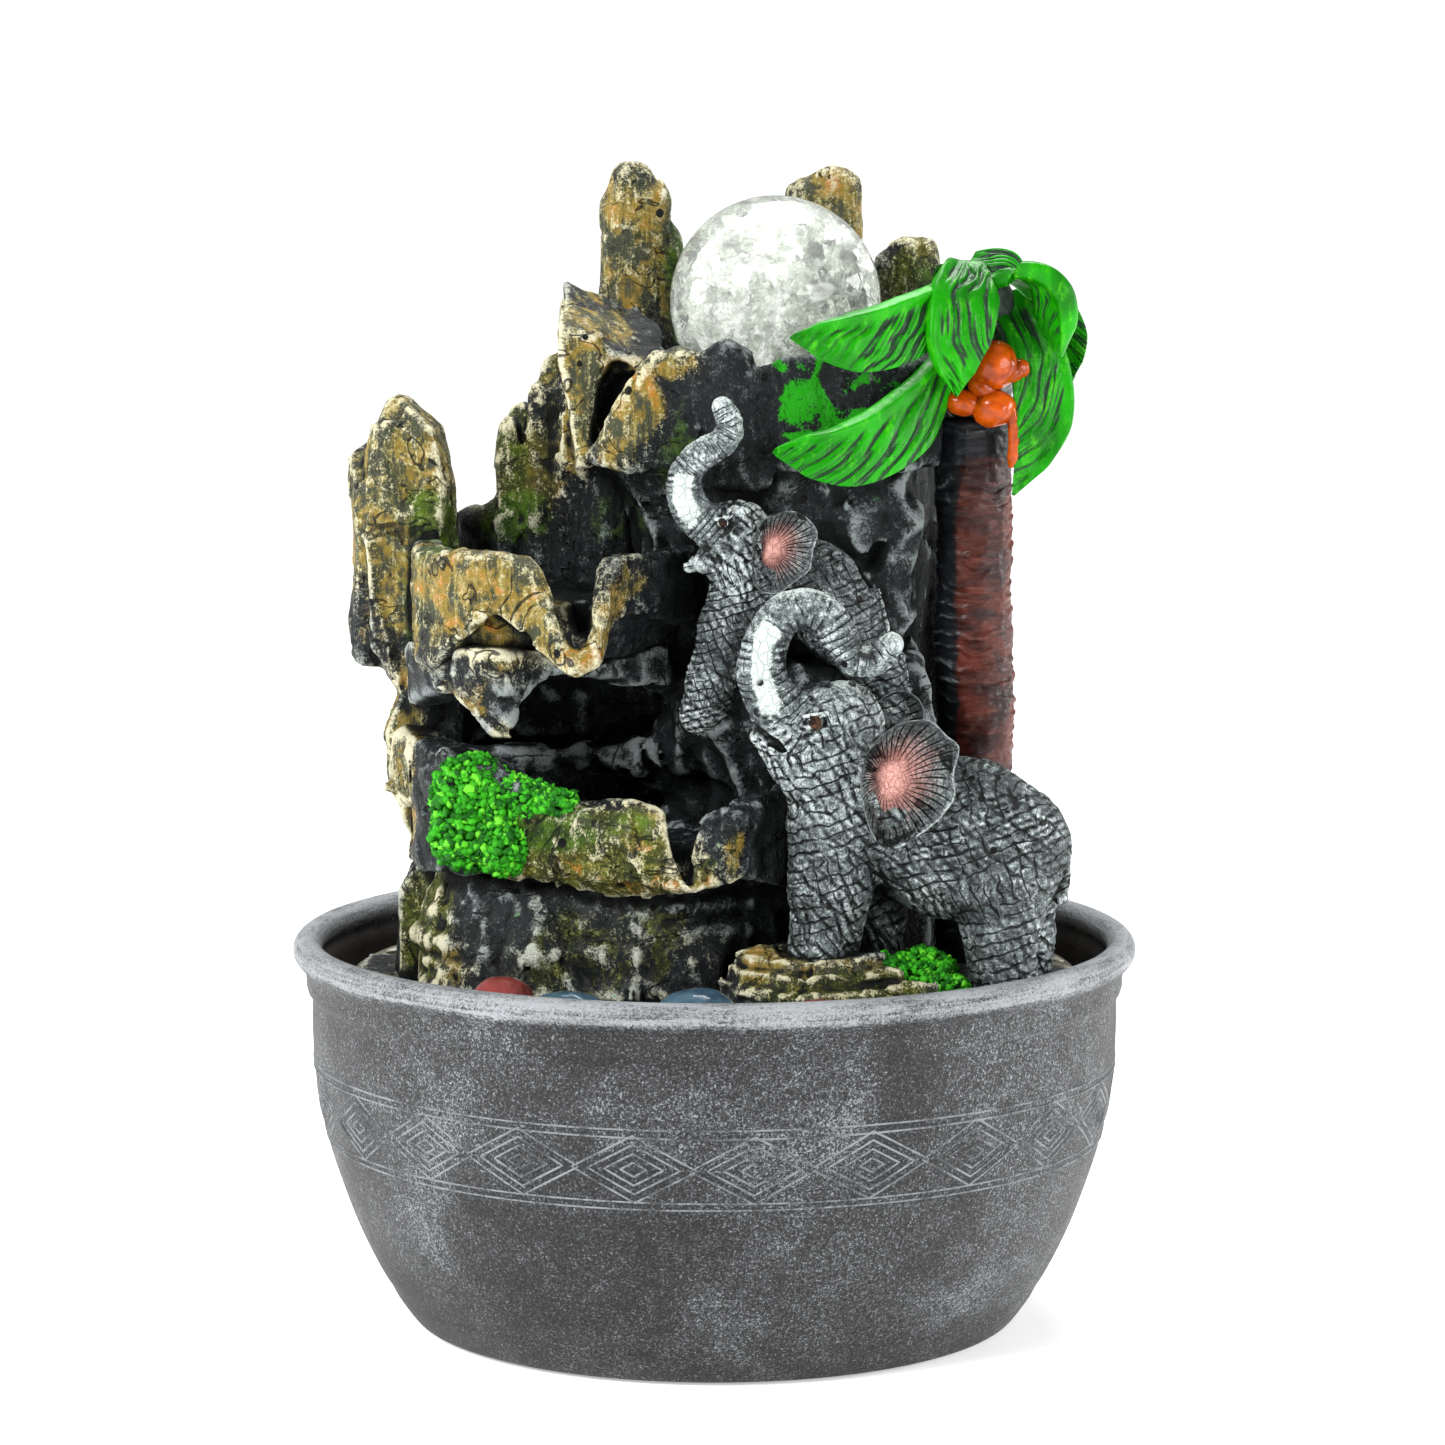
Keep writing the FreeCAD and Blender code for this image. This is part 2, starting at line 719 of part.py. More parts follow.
def make_cup():
    """The black cup that the ball turns in: a stem through the pool floor, a flared seat and a jet hole."""
    body = body_with("ball_cup")
    sketch = sketch_on(body, "cup_profile", "XZ_Plane")
    jet, stem, wide = size("jet_radius"), size("cup_stem_radius"), size("cup_radius")
    floor, top = size("pool_floor") + 0.2, size("cup_top")
    seat = size("ball_radius") + size("ball_film")
    drop = size("ball_height")

    def seat_at(z):
        return math.sqrt(seat**2 - (drop - z) ** 2)

    low = drop - math.sqrt(seat**2 - (jet + 1.5) ** 2)
    outline(
        sketch,
        [(jet, size("light_top") + 0.3), (stem, size("light_top") + 0.3)],
        [(stem, size("light_top") + 0.3), (stem, floor)],
        [(stem, floor), (wide - 2, floor)],
        [(wide - 2, floor), (wide, top)],
        [(wide, top), (seat_at(top), top)],
        [(seat_at(top), top), (seat_at((top + low) / 2), (top + low) / 2), (jet + 1.5, low)],
        [(jet + 1.5, low), (jet, low - 1.5)],
        [(jet, low - 1.5), (jet, size("light_top") + 0.3)],
    )
    revolve(body, sketch)
    bind(body, **{"Placement.Base.x": "Sizes.ball_x", "Placement.Base.y": "Sizes.ball_y"})
    return body


def make_light():
    """The potted light ring under the cup, with a bore for the water and a nipple for the tube."""
    body = body_with("light_housing")
    sketch = sketch_on(body, "light_profile", "XZ_Plane")
    jet, wide = size("jet_radius"), size("light_radius")
    top, low = size("light_top"), size("light_top") - size("light_height")
    nipple = size("tube_bore") - 0.05
    corners = [
        (nipple - 1.0, top),
        (wide, top),
        (wide, low),
        (nipple, low),
        (nipple, low - 8),
        (nipple - 1.0, low - 8),
    ]
    outline(sketch, *zip(corners, corners[1:] + corners[:1]))
    revolve(body, sketch)
    doc.recompute()
    wells = sketch_on(body, "lens_wells", "XY_Plane", top - 2.0)
    number = wells.addGeometry(Part.Circle(Vector(size("lens_circle"), 0, 0), Vector(0, 0, 1), jet), False)
    constraint = wells.addConstraint(Sketcher.Constraint("Radius", number, size("lens_radius")))
    wells.renameConstraint(constraint, "well")
    wells.setExpression("Constraints.well", "Sizes.lens_radius + 0.1")
    wells.addConstraint(Sketcher.Constraint("DistanceX", -1, 1, number, 3, size("lens_circle")))
    wells.addConstraint(Sketcher.Constraint("PointOnObject", number, 3, -1))
    well = body.newObject("PartDesign::Pocket", "lens_well")
    well.Profile = wells
    well.Length = 4.0
    well.Reversed = True
    doc.recompute()
    pattern = body.newObject("PartDesign::PolarPattern", "six_wells")
    pattern.Originals = [well]
    pattern.Axis = (wells, ["N_Axis"])
    pattern.Angle = 360
    pattern.Occurrences = 6
    body.Tip = pattern
    bind(body, **{"Placement.Base.x": "Sizes.ball_x", "Placement.Base.y": "Sizes.ball_y"})
    return body


def lens_shapes():
    """Six small domes in the wells of the light ring."""
    lenses = []
    for i in range(6):
        angle = math.radians(60 * i)
        x = size("ball_x") + size("lens_circle") * math.cos(angle)
        y = size("ball_y") + size("lens_circle") * math.sin(angle)
        lenses.append(Part.makeCylinder(size("lens_radius"), 1.9, Vector(x, y, size("light_top") - 1.95)))
    return Part.makeCompound(lenses)


# ---------------------------------------------------------------- pump


def pump_axis():
    """The rotor's axis: along X, through the middle of the pump."""
    return Vector(size("pump_x"), size("pump_y"), size("pump_base") + size("pump_height") / 2 - 2)


def make_pump_housing():
    """The potted motor block with a rotor bore, a spigot on top and an open chamber in front."""
    block = primitive(
        "Box",
        "pump_block",
        ("Sizes.pump_x - Sizes.pump_length / 2", "Sizes.pump_y - Sizes.pump_width / 2", "Sizes.pump_base"),
        Length="Sizes.pump_length",
        Width="Sizes.pump_width",
        Height="Sizes.pump_height",
    )
    doc.recompute()
    rounded = doc.addObject("Part::Fillet", "pump_block_rounded")
    rounded.Base = block
    upright = [
        i
        for i, edge in enumerate(block.Shape.Edges, start=1)
        if abs(edge.tangentAt(edge.FirstParameter).z) > 0.9
    ]
    rounded.Edges = [(i, 4.0, 4.0) for i in upright]
    spigot = primitive(
        "Cylinder",
        "pump_spigot",
        ("Sizes.pump_x + Sizes.spigot_shift", "Sizes.pump_y", "Sizes.pump_base + Sizes.pump_height - 1"),
        Radius="Sizes.tube_bore - 0.05",
        Height="11",
    )
    collar = primitive(
        "Cylinder",
        "pump_collar",
        ("Sizes.pump_x + Sizes.spigot_shift", "Sizes.pump_y", "Sizes.pump_base + Sizes.pump_height - 1"),
        Radius="Sizes.spigot_radius + 1",
        Height="3",
    )
    spigot_bore = primitive(
        "Cylinder",
        "spigot_bore",
        ("Sizes.pump_x + Sizes.spigot_shift", "Sizes.pump_y", "Sizes.pump_base + Sizes.pump_height / 2"),
        Radius="Sizes.tube_bore - 1.1",
        Height="40",
    )
    middle = "Sizes.pump_base + Sizes.pump_height / 2 - 2"
    chamber = turned(
        primitive(
            "Cylinder",
            "pump_chamber",
            ("Sizes.pump_x - Sizes.pump_length / 2 - 1", "Sizes.pump_y", middle),
            Radius="Sizes.chamber_radius",
            Height="15",
        ),
        Vector(0, 1, 0),
        90,
    )
    bore = turned(
        primitive(
            "Cylinder",
            "rotor_bore",
            ("Sizes.pump_x - Sizes.pump_length / 2", "Sizes.pump_y", middle),
            Radius="Sizes.rotor_radius + 0.6",
            Height="33",
        ),
        Vector(0, 1, 0),
        90,
    )
    body = boolean("Fuse", "pump", rounded, collar, spigot)
    body = boolean("Cut", "pump_bored", body, spigot_bore, chamber, bore)
    return keep(body, "pump_housing")


def make_chamber_plate():
    """The ring plate that closes the impeller chamber, with the intake eye."""
    middle = "Sizes.pump_base + Sizes.pump_height / 2 - 2"
    disc = turned(
        primitive(
            "Cylinder",
            "plate_disc",
            ("Sizes.pump_x - Sizes.pump_length / 2", "Sizes.pump_y", middle),
            Radius="Sizes.chamber_radius - 0.1",
            Height="2",
        ),
        Vector(0, 1, 0),
        90,
    )
    eye = turned(
        primitive(
            "Cylinder",
            "plate_eye",
            ("Sizes.pump_x - Sizes.pump_length / 2 - 1", "Sizes.pump_y", middle),
            Radius="4.2",
            Height="4",
        ),
        Vector(0, 1, 0),
        90,
    )
    spider = primitive(
        "Box",
        "plate_spider",
        ("Sizes.pump_x - Sizes.pump_length / 2", "Sizes.pump_y - 5", middle + " - 1"),
        Length="2",
        Width="10",
        Height="2",
    )
    hub = turned(
        primitive(
            "Cylinder",
            "plate_hub",
            ("Sizes.pump_x - Sizes.pump_length / 2", "Sizes.pump_y", middle),
            Radius="2",
            Height="2",
        ),
        Vector(0, 1, 0),
        90,
    )
    pin_hole = turned(
        primitive(
            "Cylinder",
            "plate_pin_hole",
            ("Sizes.pump_x - Sizes.pump_length / 2 + 1", "Sizes.pump_y", middle),
            Radius="Sizes.axle_radius + 0.02",
            Height="4",
        ),
        Vector(0, 1, 0),
        90,
    )
    ring = boolean("Cut", "plate_ring", disc, eye)
    webbed = boolean("Fuse", "plate_webbed", ring, spider, hub)
    return keep(boolean("Cut", "plate_bored", webbed, pin_hole), "chamber_plate")


def impeller_shape():
    """The magnet rotor with a disc and six straight blades, bored for its axle."""
    axis = pump_axis()
    front = axis.x - size("pump_length") / 2 + 2.6
    pin = size("axle_radius") + 0.05
    x_axis = Vector(1, 0, 0)
    rear = Vector(front + 8, axis.y, axis.z)
    magnet = Part.makeCylinder(size("rotor_radius"), size("rotor_length"), rear, x_axis)
    disc = Part.makeCylinder(7.5, 1.2, Vector(front + 6.8, axis.y, axis.z), x_axis)
    hub = Part.makeCylinder(2.4, 7.0, Vector(front, axis.y, axis.z), x_axis)
    blades = []
    for i in range(6):
        blade = Part.makeBox(5.6, 6.0, 1.0, Vector(0, 1.6, -0.5))
        blade.Placement = Placement(Vector(front + 1.3, axis.y, axis.z), Rotation(x_axis, 60 * i))
        blades.append(blade)
    whole = magnet.fuse([disc, hub] + blades)
    bore = Part.makeCylinder(pin, 60, Vector(front - 5, axis.y, axis.z), x_axis)
    return whole.cut(bore).removeSplitter()


def strainer_shape():
    """The slotted intake cover that pulls off the front of the pump."""
    x = size("pump_x") - size("pump_length") / 2
    wide, high = size("pump_width"), size("pump_height")
    base = size("pump_base")
    depth = 10.0
    shell = Part.makeBox(depth, wide, high, Vector(x - depth - 0.2, size("pump_y") - wide / 2, base))
    corner = Vector(x - depth + 1.8, size("pump_y") - wide / 2 + 2, base + 2)
    inside = Part.makeBox(depth, wide - 4, high - 4, corner)
    slots = []
    for i in range(6):
        z = base + 4.5 + 4.0 * i
        edge = Vector(x - depth - 1.2, size("pump_y") - wide / 2 + 5, z)
        slots.append(Part.makeBox(4, wide - 10, 2.0, edge))
    return shell.cut([inside] + slots)


def knob_shape():
    """The flow knob on the side of the strainer end: a ribbed button on a short stem."""
    axis = pump_axis()
    face = size("pump_y") + size("pump_width") / 2
    at = Vector(axis.x - 4, face + 0.2, axis.z + 2)
    y_axis = Vector(0, 1, 0)
    button = Part.makeCylinder(size("knob_radius"), 3.0, at, y_axis)
    rib = Part.makeBox(1.4, 1.6, size("knob_radius") * 1.8)
    rib.translate(Vector(at.x - 0.7, at.y + 2.6, at.z - size("knob_radius") * 0.9))
    return button.fuse(rib).removeSplitter()


def suction_cup_shapes():
    """Four rubber suckers under the pump."""
    cups = []
    floor = size("bowl_floor") + size("stand_gap")
    for sx in (-1, 1):
        for sy in (-1, 1):
            x = size("pump_x") + sx * (size("pump_length") / 2 - 6)
            y = size("pump_y") + sy * (size("pump_width") / 2 - 6)
            skirt = Part.makeCone(5.2, 2.2, 3.2, Vector(x, y, floor))
            stalk = Part.makeCylinder(2.2, size("pump_base") - floor - 3.2, Vector(x, y, floor + 3.2))
            cups.append(skirt.fuse(stalk).removeSplitter())
    return Part.makeCompound(cups)


def tube_path():
    """The clear tube's line from the pump's spigot up to the light's nipple, in two gentle bends."""
    x0, y0 = size("pump_x") + size("spigot_shift"), size("pump_y")
    low = size("pump_base") + size("pump_height") + 2.2
    high = size("light_top") - size("light_height") - 0.2
    x1, y1 = size("ball_x"), size("ball_y")
    path = rounded_path([(x0, y0, low), (x0, y0, 78), (x1, y1, 150), (x1, y1, high)], 60.0)
    return path, size("tube_radius")


def lead_path():
    """The light lead's line, down behind the tube to the pump's potted block."""
    x1, y1 = size("ball_x") + 8, size("ball_y") + 6
    high = size("light_top") - size("light_height") - 0.1
    x0, y0 = size("pump_x") + size("lead_shift"), size("pump_y") + 8
    low = size("pump_base") + size("pump_height") + 0.1
    path = rounded_path([(x1, y1, high), (x1, y1, 150), (x0, y0, 80), (x0, y0, low)], 50.0)
    return path, size("lead_radius")


def pipe_room(path, radius):
    """The space a pipe needs, a millimetre wider all round."""
    return pipe(path, radius + 1.0)


def tube_shape():
    path, radius = tube_path()
    return pipe(path, radius).cut(pipe(path, size("tube_bore")))


def lead_shape():
    return pipe(*lead_path())


# ---------------------------------------------------------------- pebbles and moss

PEBBLES = {
    "pebble_red_left": (-48, -66, 7.5, 6.0, 5.4),
    "pebble_blue_left": (-33, -75, 9.5, 5.6, 4.4),
    "pebble_blue_centre": (-4, -76, 9.0, 7.0, 5.0),
    "pebble_red_right": (24, -79.5, 8.0, 4.6, 4.2),
}


def pebble_shape(x, y, rx, ry, rz):
    """A river pebble: a ball stretched three ways, lying on the deck."""
    ball = Part.makeSphere(1.0)
    stretch = FreeCAD.Matrix()
    stretch.scale(rx, ry, rz)
    stone = ball.transformGeometry(stretch)
    stone.translate(Vector(x, y, size("deck_top") + 0.3 + rz))
    return stone


def moss_ledge_shape():
    tufts = [
        (-55, -44, 131, 9.5), (-60, -38, 127, 8.0),
        (-47, -52, 133, 7.0), (-54, -47, 122, 7.0), (-40, -57, 132, 4.5),
    ]
    balls = [Part.makeSphere(r, Vector(x, y, z)) for x, y, z, r in tufts]
    return balls[0].fuse(balls[1:]).removeSplitter()


def moss_ground_shape():
    tufts = [(44, -58, 88, 8.0), (50, -60, 87, 7.0), (42, -50, 90, 7.5)]
    balls = [Part.makeSphere(r, Vector(x, y, z)) for x, y, z, r in tufts]
    above = Part.makeBox(60, 60, 40, Vector(20, -90, size("deck_top") + 1))
    return balls[0].fuse(balls[1:]).common(above).removeSplitter()


# ---------------------------------------------------------------- assembly


def clear(shape, *others):
    """The shape with every neighbour's volume taken out of it."""
    return shape.cut([o for o in others if o.BoundBox.intersect(shape.BoundBox)])


def largest(shape):
    """Drops the chips that a cut can leave, and keeps the main solid."""
    return max(shape.Solids, key=lambda s: s.Volume)


def make_rockery():
    upper, middle, lower = upper_basin_shape(), middle_basin_shape(), lower_basin_shape()
    foot = cliff_foot_shape()
    pillar = largest(clear(pillar_shape(), middle, lower, foot))
    trunk = palm_trunk_shape()
    crown = clear(crown_shape(), trunk)
    adult = adult_shape()
    ears = [largest(clear(ear, adult)) for ear in adult_ears_shape()]
    calf = largest(clear(calf_shape(), adult, trunk, upper, middle, ears[1]))
    calf_ear = largest(clear(calf_ear_shape(), calf, upper))
    columns = largest(clear(columns_shape(), upper, middle, pillar))
    spires = {
        "left_spire": spire_shape(-17, 31, 14, size("wall_top"), 272.5, 0.75),
        "rear_spire": spire_shape(28, 46, 11, size("wall_top"), 271.0, 0.7),
        "right_spire": spire_shape(48, 33, 10, size("wall_top"), 254.0, 0.8),
    }
    ball_centre = Vector(size("ball_x"), size("ball_y"), size("ball_height"))
    hull = Part.makeSphere(size("ball_radius") + 1.0, ball_centre)
    done = [upper, columns]
    for label, spire in spires.items():
        spire = largest(clear(spire, hull, *done))
        done.append(spire)
        solid(label, spire)
    boulder = largest(clear(boulder_shape(), adult, calf, trunk, middle, lower, foot, *ears))
    slab = largest(clear(slab_shape(), adult, lower, foot, trunk, boulder))
    neighbours = (upper, middle, lower, foot, pillar, columns, trunk, calf, adult, boulder, slab)
    wall = clear(wall_shape(), *neighbours, *done[2:])
    wall = largest(clear(wall, pipe_room(*tube_path()), pipe_room(*lead_path())))
    moss_ledge = largest(clear(moss_ledge_shape(), lower, foot, pillar, wall))
    moss_ground = largest(clear(moss_ground_shape(), adult, slab, boulder))
    taken = [trunk, crown, upper, wall, calf, calf_ear] + done[2:]
    coconuts = [Part.makeSphere(r, Vector(x, y, z)) for x, y, z, r in COCONUTS]
    nuts = []
    for nut in coconuts:
        nuts.append(largest(clear(nut, crown, *nuts)))
    taken += nuts
    for name, (spine, widths, side) in FRONDS.items():
        frond = largest(clear(leaf(spine, widths, side, size("frond_thick")), hull, *taken))
        taken.append(frond)
        solid(f"frond_{name}", frond)
    for label, shape in (
        ("upper_basin", upper),
        ("middle_basin", middle),
        ("lower_basin", lower),
        ("cliff_foot", foot),
        ("left_pillar", pillar),
        ("stepped_columns", columns),
        ("rock_wall", wall),
        ("calf_boulder", boulder),
        ("elephant_slab", slab),
        ("adult_elephant", adult),
        ("adult_ears", Part.makeCompound(ears)),
        ("calf_elephant", calf),
        ("calf_ear", calf_ear),
        ("palm_trunk", trunk),
        ("palm_crown", crown),
        ("coconuts", Part.makeCompound(nuts)),
        ("moss_ledge", moss_ledge),
        ("moss_ground", moss_ground),
    ):
        solid(label, shape)


def make_gland():
    """The rubber gland where a supply lead would enter the back of the pump."""
    collar = primitive(
        "Cone",
        "gland_cone",
        ("Sizes.pump_x + Sizes.pump_length / 2", "Sizes.pump_y", "Sizes.pump_base + 9"),
        Radius1="4.2",
        Radius2="3.2",
        Height="7",
    )
    hole = primitive(
        "Cylinder",
        "gland_hole",
        ("Sizes.pump_x + Sizes.pump_length / 2 + 1", "Sizes.pump_y", "Sizes.pump_base + 9"),
        Radius="2.1",
        Height="9",
    )
    for piece in (collar, hole):
        turned(piece, Vector(0, 1, 0), 90)
    return keep(boolean("Cut", "gland_bored", collar, hole), "pump_gland")


def make_small_parts():
    ball = primitive(
        "Sphere",
        "glass_ball",
        ("Sizes.ball_x", "Sizes.ball_y", "Sizes.ball_height"),
        Radius="Sizes.ball_radius",
    )
    keep(ball, "glass_ball")
    make_cup()
    make_light()
    solid("light_lenses", lens_shapes())
    make_pump_housing()
    make_chamber_plate()
    make_gland()
    solid("impeller", impeller_shape())
    axis = pump_axis()
    axle = turned(
        primitive(
            "Cylinder",
            "rotor_axle",
            ("Sizes.pump_x - Sizes.pump_length / 2 + 1.1", "Sizes.pump_y", str(axis.z)),
            Radius="Sizes.axle_radius",
            Height="Sizes.pump_length - 5",
        ),
        Vector(0, 1, 0),
        90,
    )
    keep(axle, "rotor_axle")
    bush = Part.makeCylinder(3.0, 2.4, Vector(axis.x + 12.4, axis.y, axis.z), Vector(1, 0, 0))
    mouth = Vector(axis.x + 11, axis.y, axis.z)
    hole = Part.makeCylinder(size("axle_radius") + 0.02, 6, mouth, Vector(1, 0, 0))
    solid("axle_bush", bush.cut(hole))
    solid("pump_strainer", strainer_shape())
    solid("flow_knob", knob_shape())
    solid("suction_cups", suction_cup_shapes())
    solid("water_tube", tube_shape())
    solid("light_lead", lead_shape())
    for label, numbers in PEBBLES.items():
        solid(label, pebble_shape(*numbers))


make_bowl()
make_deck()
make_rockery()
make_small_parts()
doc.recompute()

for obj in doc.Objects:
    if "Invalid" in obj.State or "Error" in obj.State:
        raise RuntimeError(f"{obj.Label} failed: {obj.State}")
os.makedirs(OUT, exist_ok=True)
for obj in parts:
    shape = obj.Shape
    if shape.isNull() or not shape.isValid() or not shape.Solids:
        raise RuntimeError(f"{obj.Label} has no valid solid")
    shape.exportStep(os.path.join(OUT, f"{obj.Label}.step"))
    print(f"{obj.Label:20s} solids {len(shape.Solids)}  volume {shape.Volume / 1000:8.2f} cm3")
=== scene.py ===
"""Looks of the tabletop fountain: a grey bowl, a painted cast rockery with three spill trays, a palm, two
elephants and a crackle-glass ball. Shapes are worked out in millimetres in the frame of the CAD model, and
put into the meshes in metres."""

import math

import bpy
import numpy as np
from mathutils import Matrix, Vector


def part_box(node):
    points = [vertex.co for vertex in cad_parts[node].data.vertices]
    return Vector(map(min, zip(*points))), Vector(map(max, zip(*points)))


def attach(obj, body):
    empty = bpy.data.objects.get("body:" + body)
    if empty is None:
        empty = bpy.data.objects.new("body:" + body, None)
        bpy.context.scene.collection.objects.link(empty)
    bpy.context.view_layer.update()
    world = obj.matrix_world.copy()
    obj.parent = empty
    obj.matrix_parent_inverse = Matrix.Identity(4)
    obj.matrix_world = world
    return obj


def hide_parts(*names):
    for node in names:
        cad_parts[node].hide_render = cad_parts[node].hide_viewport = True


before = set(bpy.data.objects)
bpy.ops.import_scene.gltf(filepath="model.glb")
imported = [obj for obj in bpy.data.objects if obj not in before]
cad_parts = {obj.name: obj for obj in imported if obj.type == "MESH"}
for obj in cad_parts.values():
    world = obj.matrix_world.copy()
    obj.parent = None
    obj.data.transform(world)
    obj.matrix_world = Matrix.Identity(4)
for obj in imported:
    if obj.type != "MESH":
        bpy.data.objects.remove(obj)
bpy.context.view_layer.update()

MM = 0.001
TURN = 2 * math.pi
# the crackle ball: where it stands in plan, and the height of its centre
BALL_PLAN = (14.4, 10)
BALL_CENTRE = (*BALL_PLAN, 240.7)


# ------------------------------------------------------------------ camera, floor and light


def set_camera():
    """A long lens a little above the rim, looking slightly down, with the fountain's axis just left of the
    middle."""
    lens = bpy.data.cameras.new("camera")
    lens.lens = 126.5
    lens.sensor_width = 36.0
    lens.shift_x = 0.0056
    lens.clip_end = 100.0
    camera = bpy.data.objects.new("camera", lens)
    camera.location = (0.0, -1.1917, 0.2964)
    camera.rotation_euler = (math.radians(90 - 7.396), 0, 0)
    bpy.context.collection.objects.link(camera)
    bpy.context.scene.camera = camera


def add_light(name, place, aim, size, power, colour=(1, 1, 1)):
    """A square softbox that faces the point it lights."""
    light = bpy.data.lights.new(name, "AREA")
    light.size = size
    light.energy = power
    light.color = colour
    lamp = bpy.data.objects.new(name, light)
    lamp.location = place
    heading = np.subtract(aim, place)
    flat = math.hypot(heading[0], heading[1])
    lamp.rotation_euler = (math.atan2(flat, -heading[2]), 0, math.atan2(-heading[0], heading[1]))
    bpy.context.collection.objects.link(lamp)


def set_studio():
    """A white room that lights the object gently, a white floor, and softboxes that do most of the work."""
    world = bpy.data.worlds.new("studio")
    world.use_nodes = True
    tree = world.node_tree
    background = tree.nodes["Background"]
    background.inputs["Color"].default_value = (1.0, 1.0, 0.99, 1)
    ray = tree.nodes.new("ShaderNodeLightPath")
    seen = tree.nodes.new("ShaderNodeMath")
    seen.operation = "MAXIMUM"
    tree.links.new(ray.outputs["Is Camera Ray"], seen.inputs[0])
    tree.links.new(ray.outputs["Is Transmission Ray"], seen.inputs[1])
    level = tree.nodes.new("ShaderNodeMath")
    level.operation = "MULTIPLY_ADD"
    level.inputs[1].default_value = 0.68
    level.inputs[2].default_value = 0.34
    tree.links.new(seen.outputs[0], level.inputs[0])
    tree.links.new(level.outputs[0], background.inputs["Strength"])
    bpy.context.scene.world = world
    bpy.context.scene.view_settings.view_transform = "Standard"
    aim = (0, 0, 0.13)
    add_light("key_softbox", (-0.7, -0.85, 0.8), aim, 0.45, 17.0)
    add_light("fill_softbox", (0.95, -0.75, 0.4), aim, 0.5, 7.0)
    add_light("top_softbox", (0.1, 0.4, 1.0), aim, 0.5, 12.0)
    add_light("left_strip", (-1.1, 0.1, 0.35), aim, 0.4, 6.0)
    add_light("right_strip", (1.1, 0.2, 0.35), aim, 0.4, 6.0)
    bpy.ops.mesh.primitive_plane_add(size=60, location=(0, 0, -0.0005))
    floor = bpy.context.object
    floor.name = "floor"
    paper = Finish("floor_paper")
    off = paper.node("ShaderNodeVectorMath", {"operation": "LENGTH"}, {0: paper.place()}, output="Value")
    glow = paper.over(rgb(0.44, 0.44, 0.435), off, 0.25, 0.9, rgb(0.8, 0.8, 0.79))
    paper.set(**{"Base Color": (0.9, 0.9, 0.895, 1), "Roughness": 0.9, "Emission Color": glow})
    paper.set(**{"Emission Strength": 1.0, "Specular IOR Level": 0.1})
    floor.data.materials.append(paper.material)


# ------------------------------------------------------------------ shader expressions


class Value:
    """A shader socket that takes part in sums: each operator adds a Math node."""

    def __init__(self, finish, socket):
        self.finish = finish
        self.socket = socket

    def __add__(self, other):
        return self.finish.maths("ADD", self, other)

    def __sub__(self, other):
        return self.finish.maths("SUBTRACT", self, other)

    def __mul__(self, other):
        return self.finish.maths("MULTIPLY", self, other)

    def __rsub__(self, other):
        return self.finish.maths("SUBTRACT", other, self)

    __radd__ = __add__
    __rmul__ = __mul__


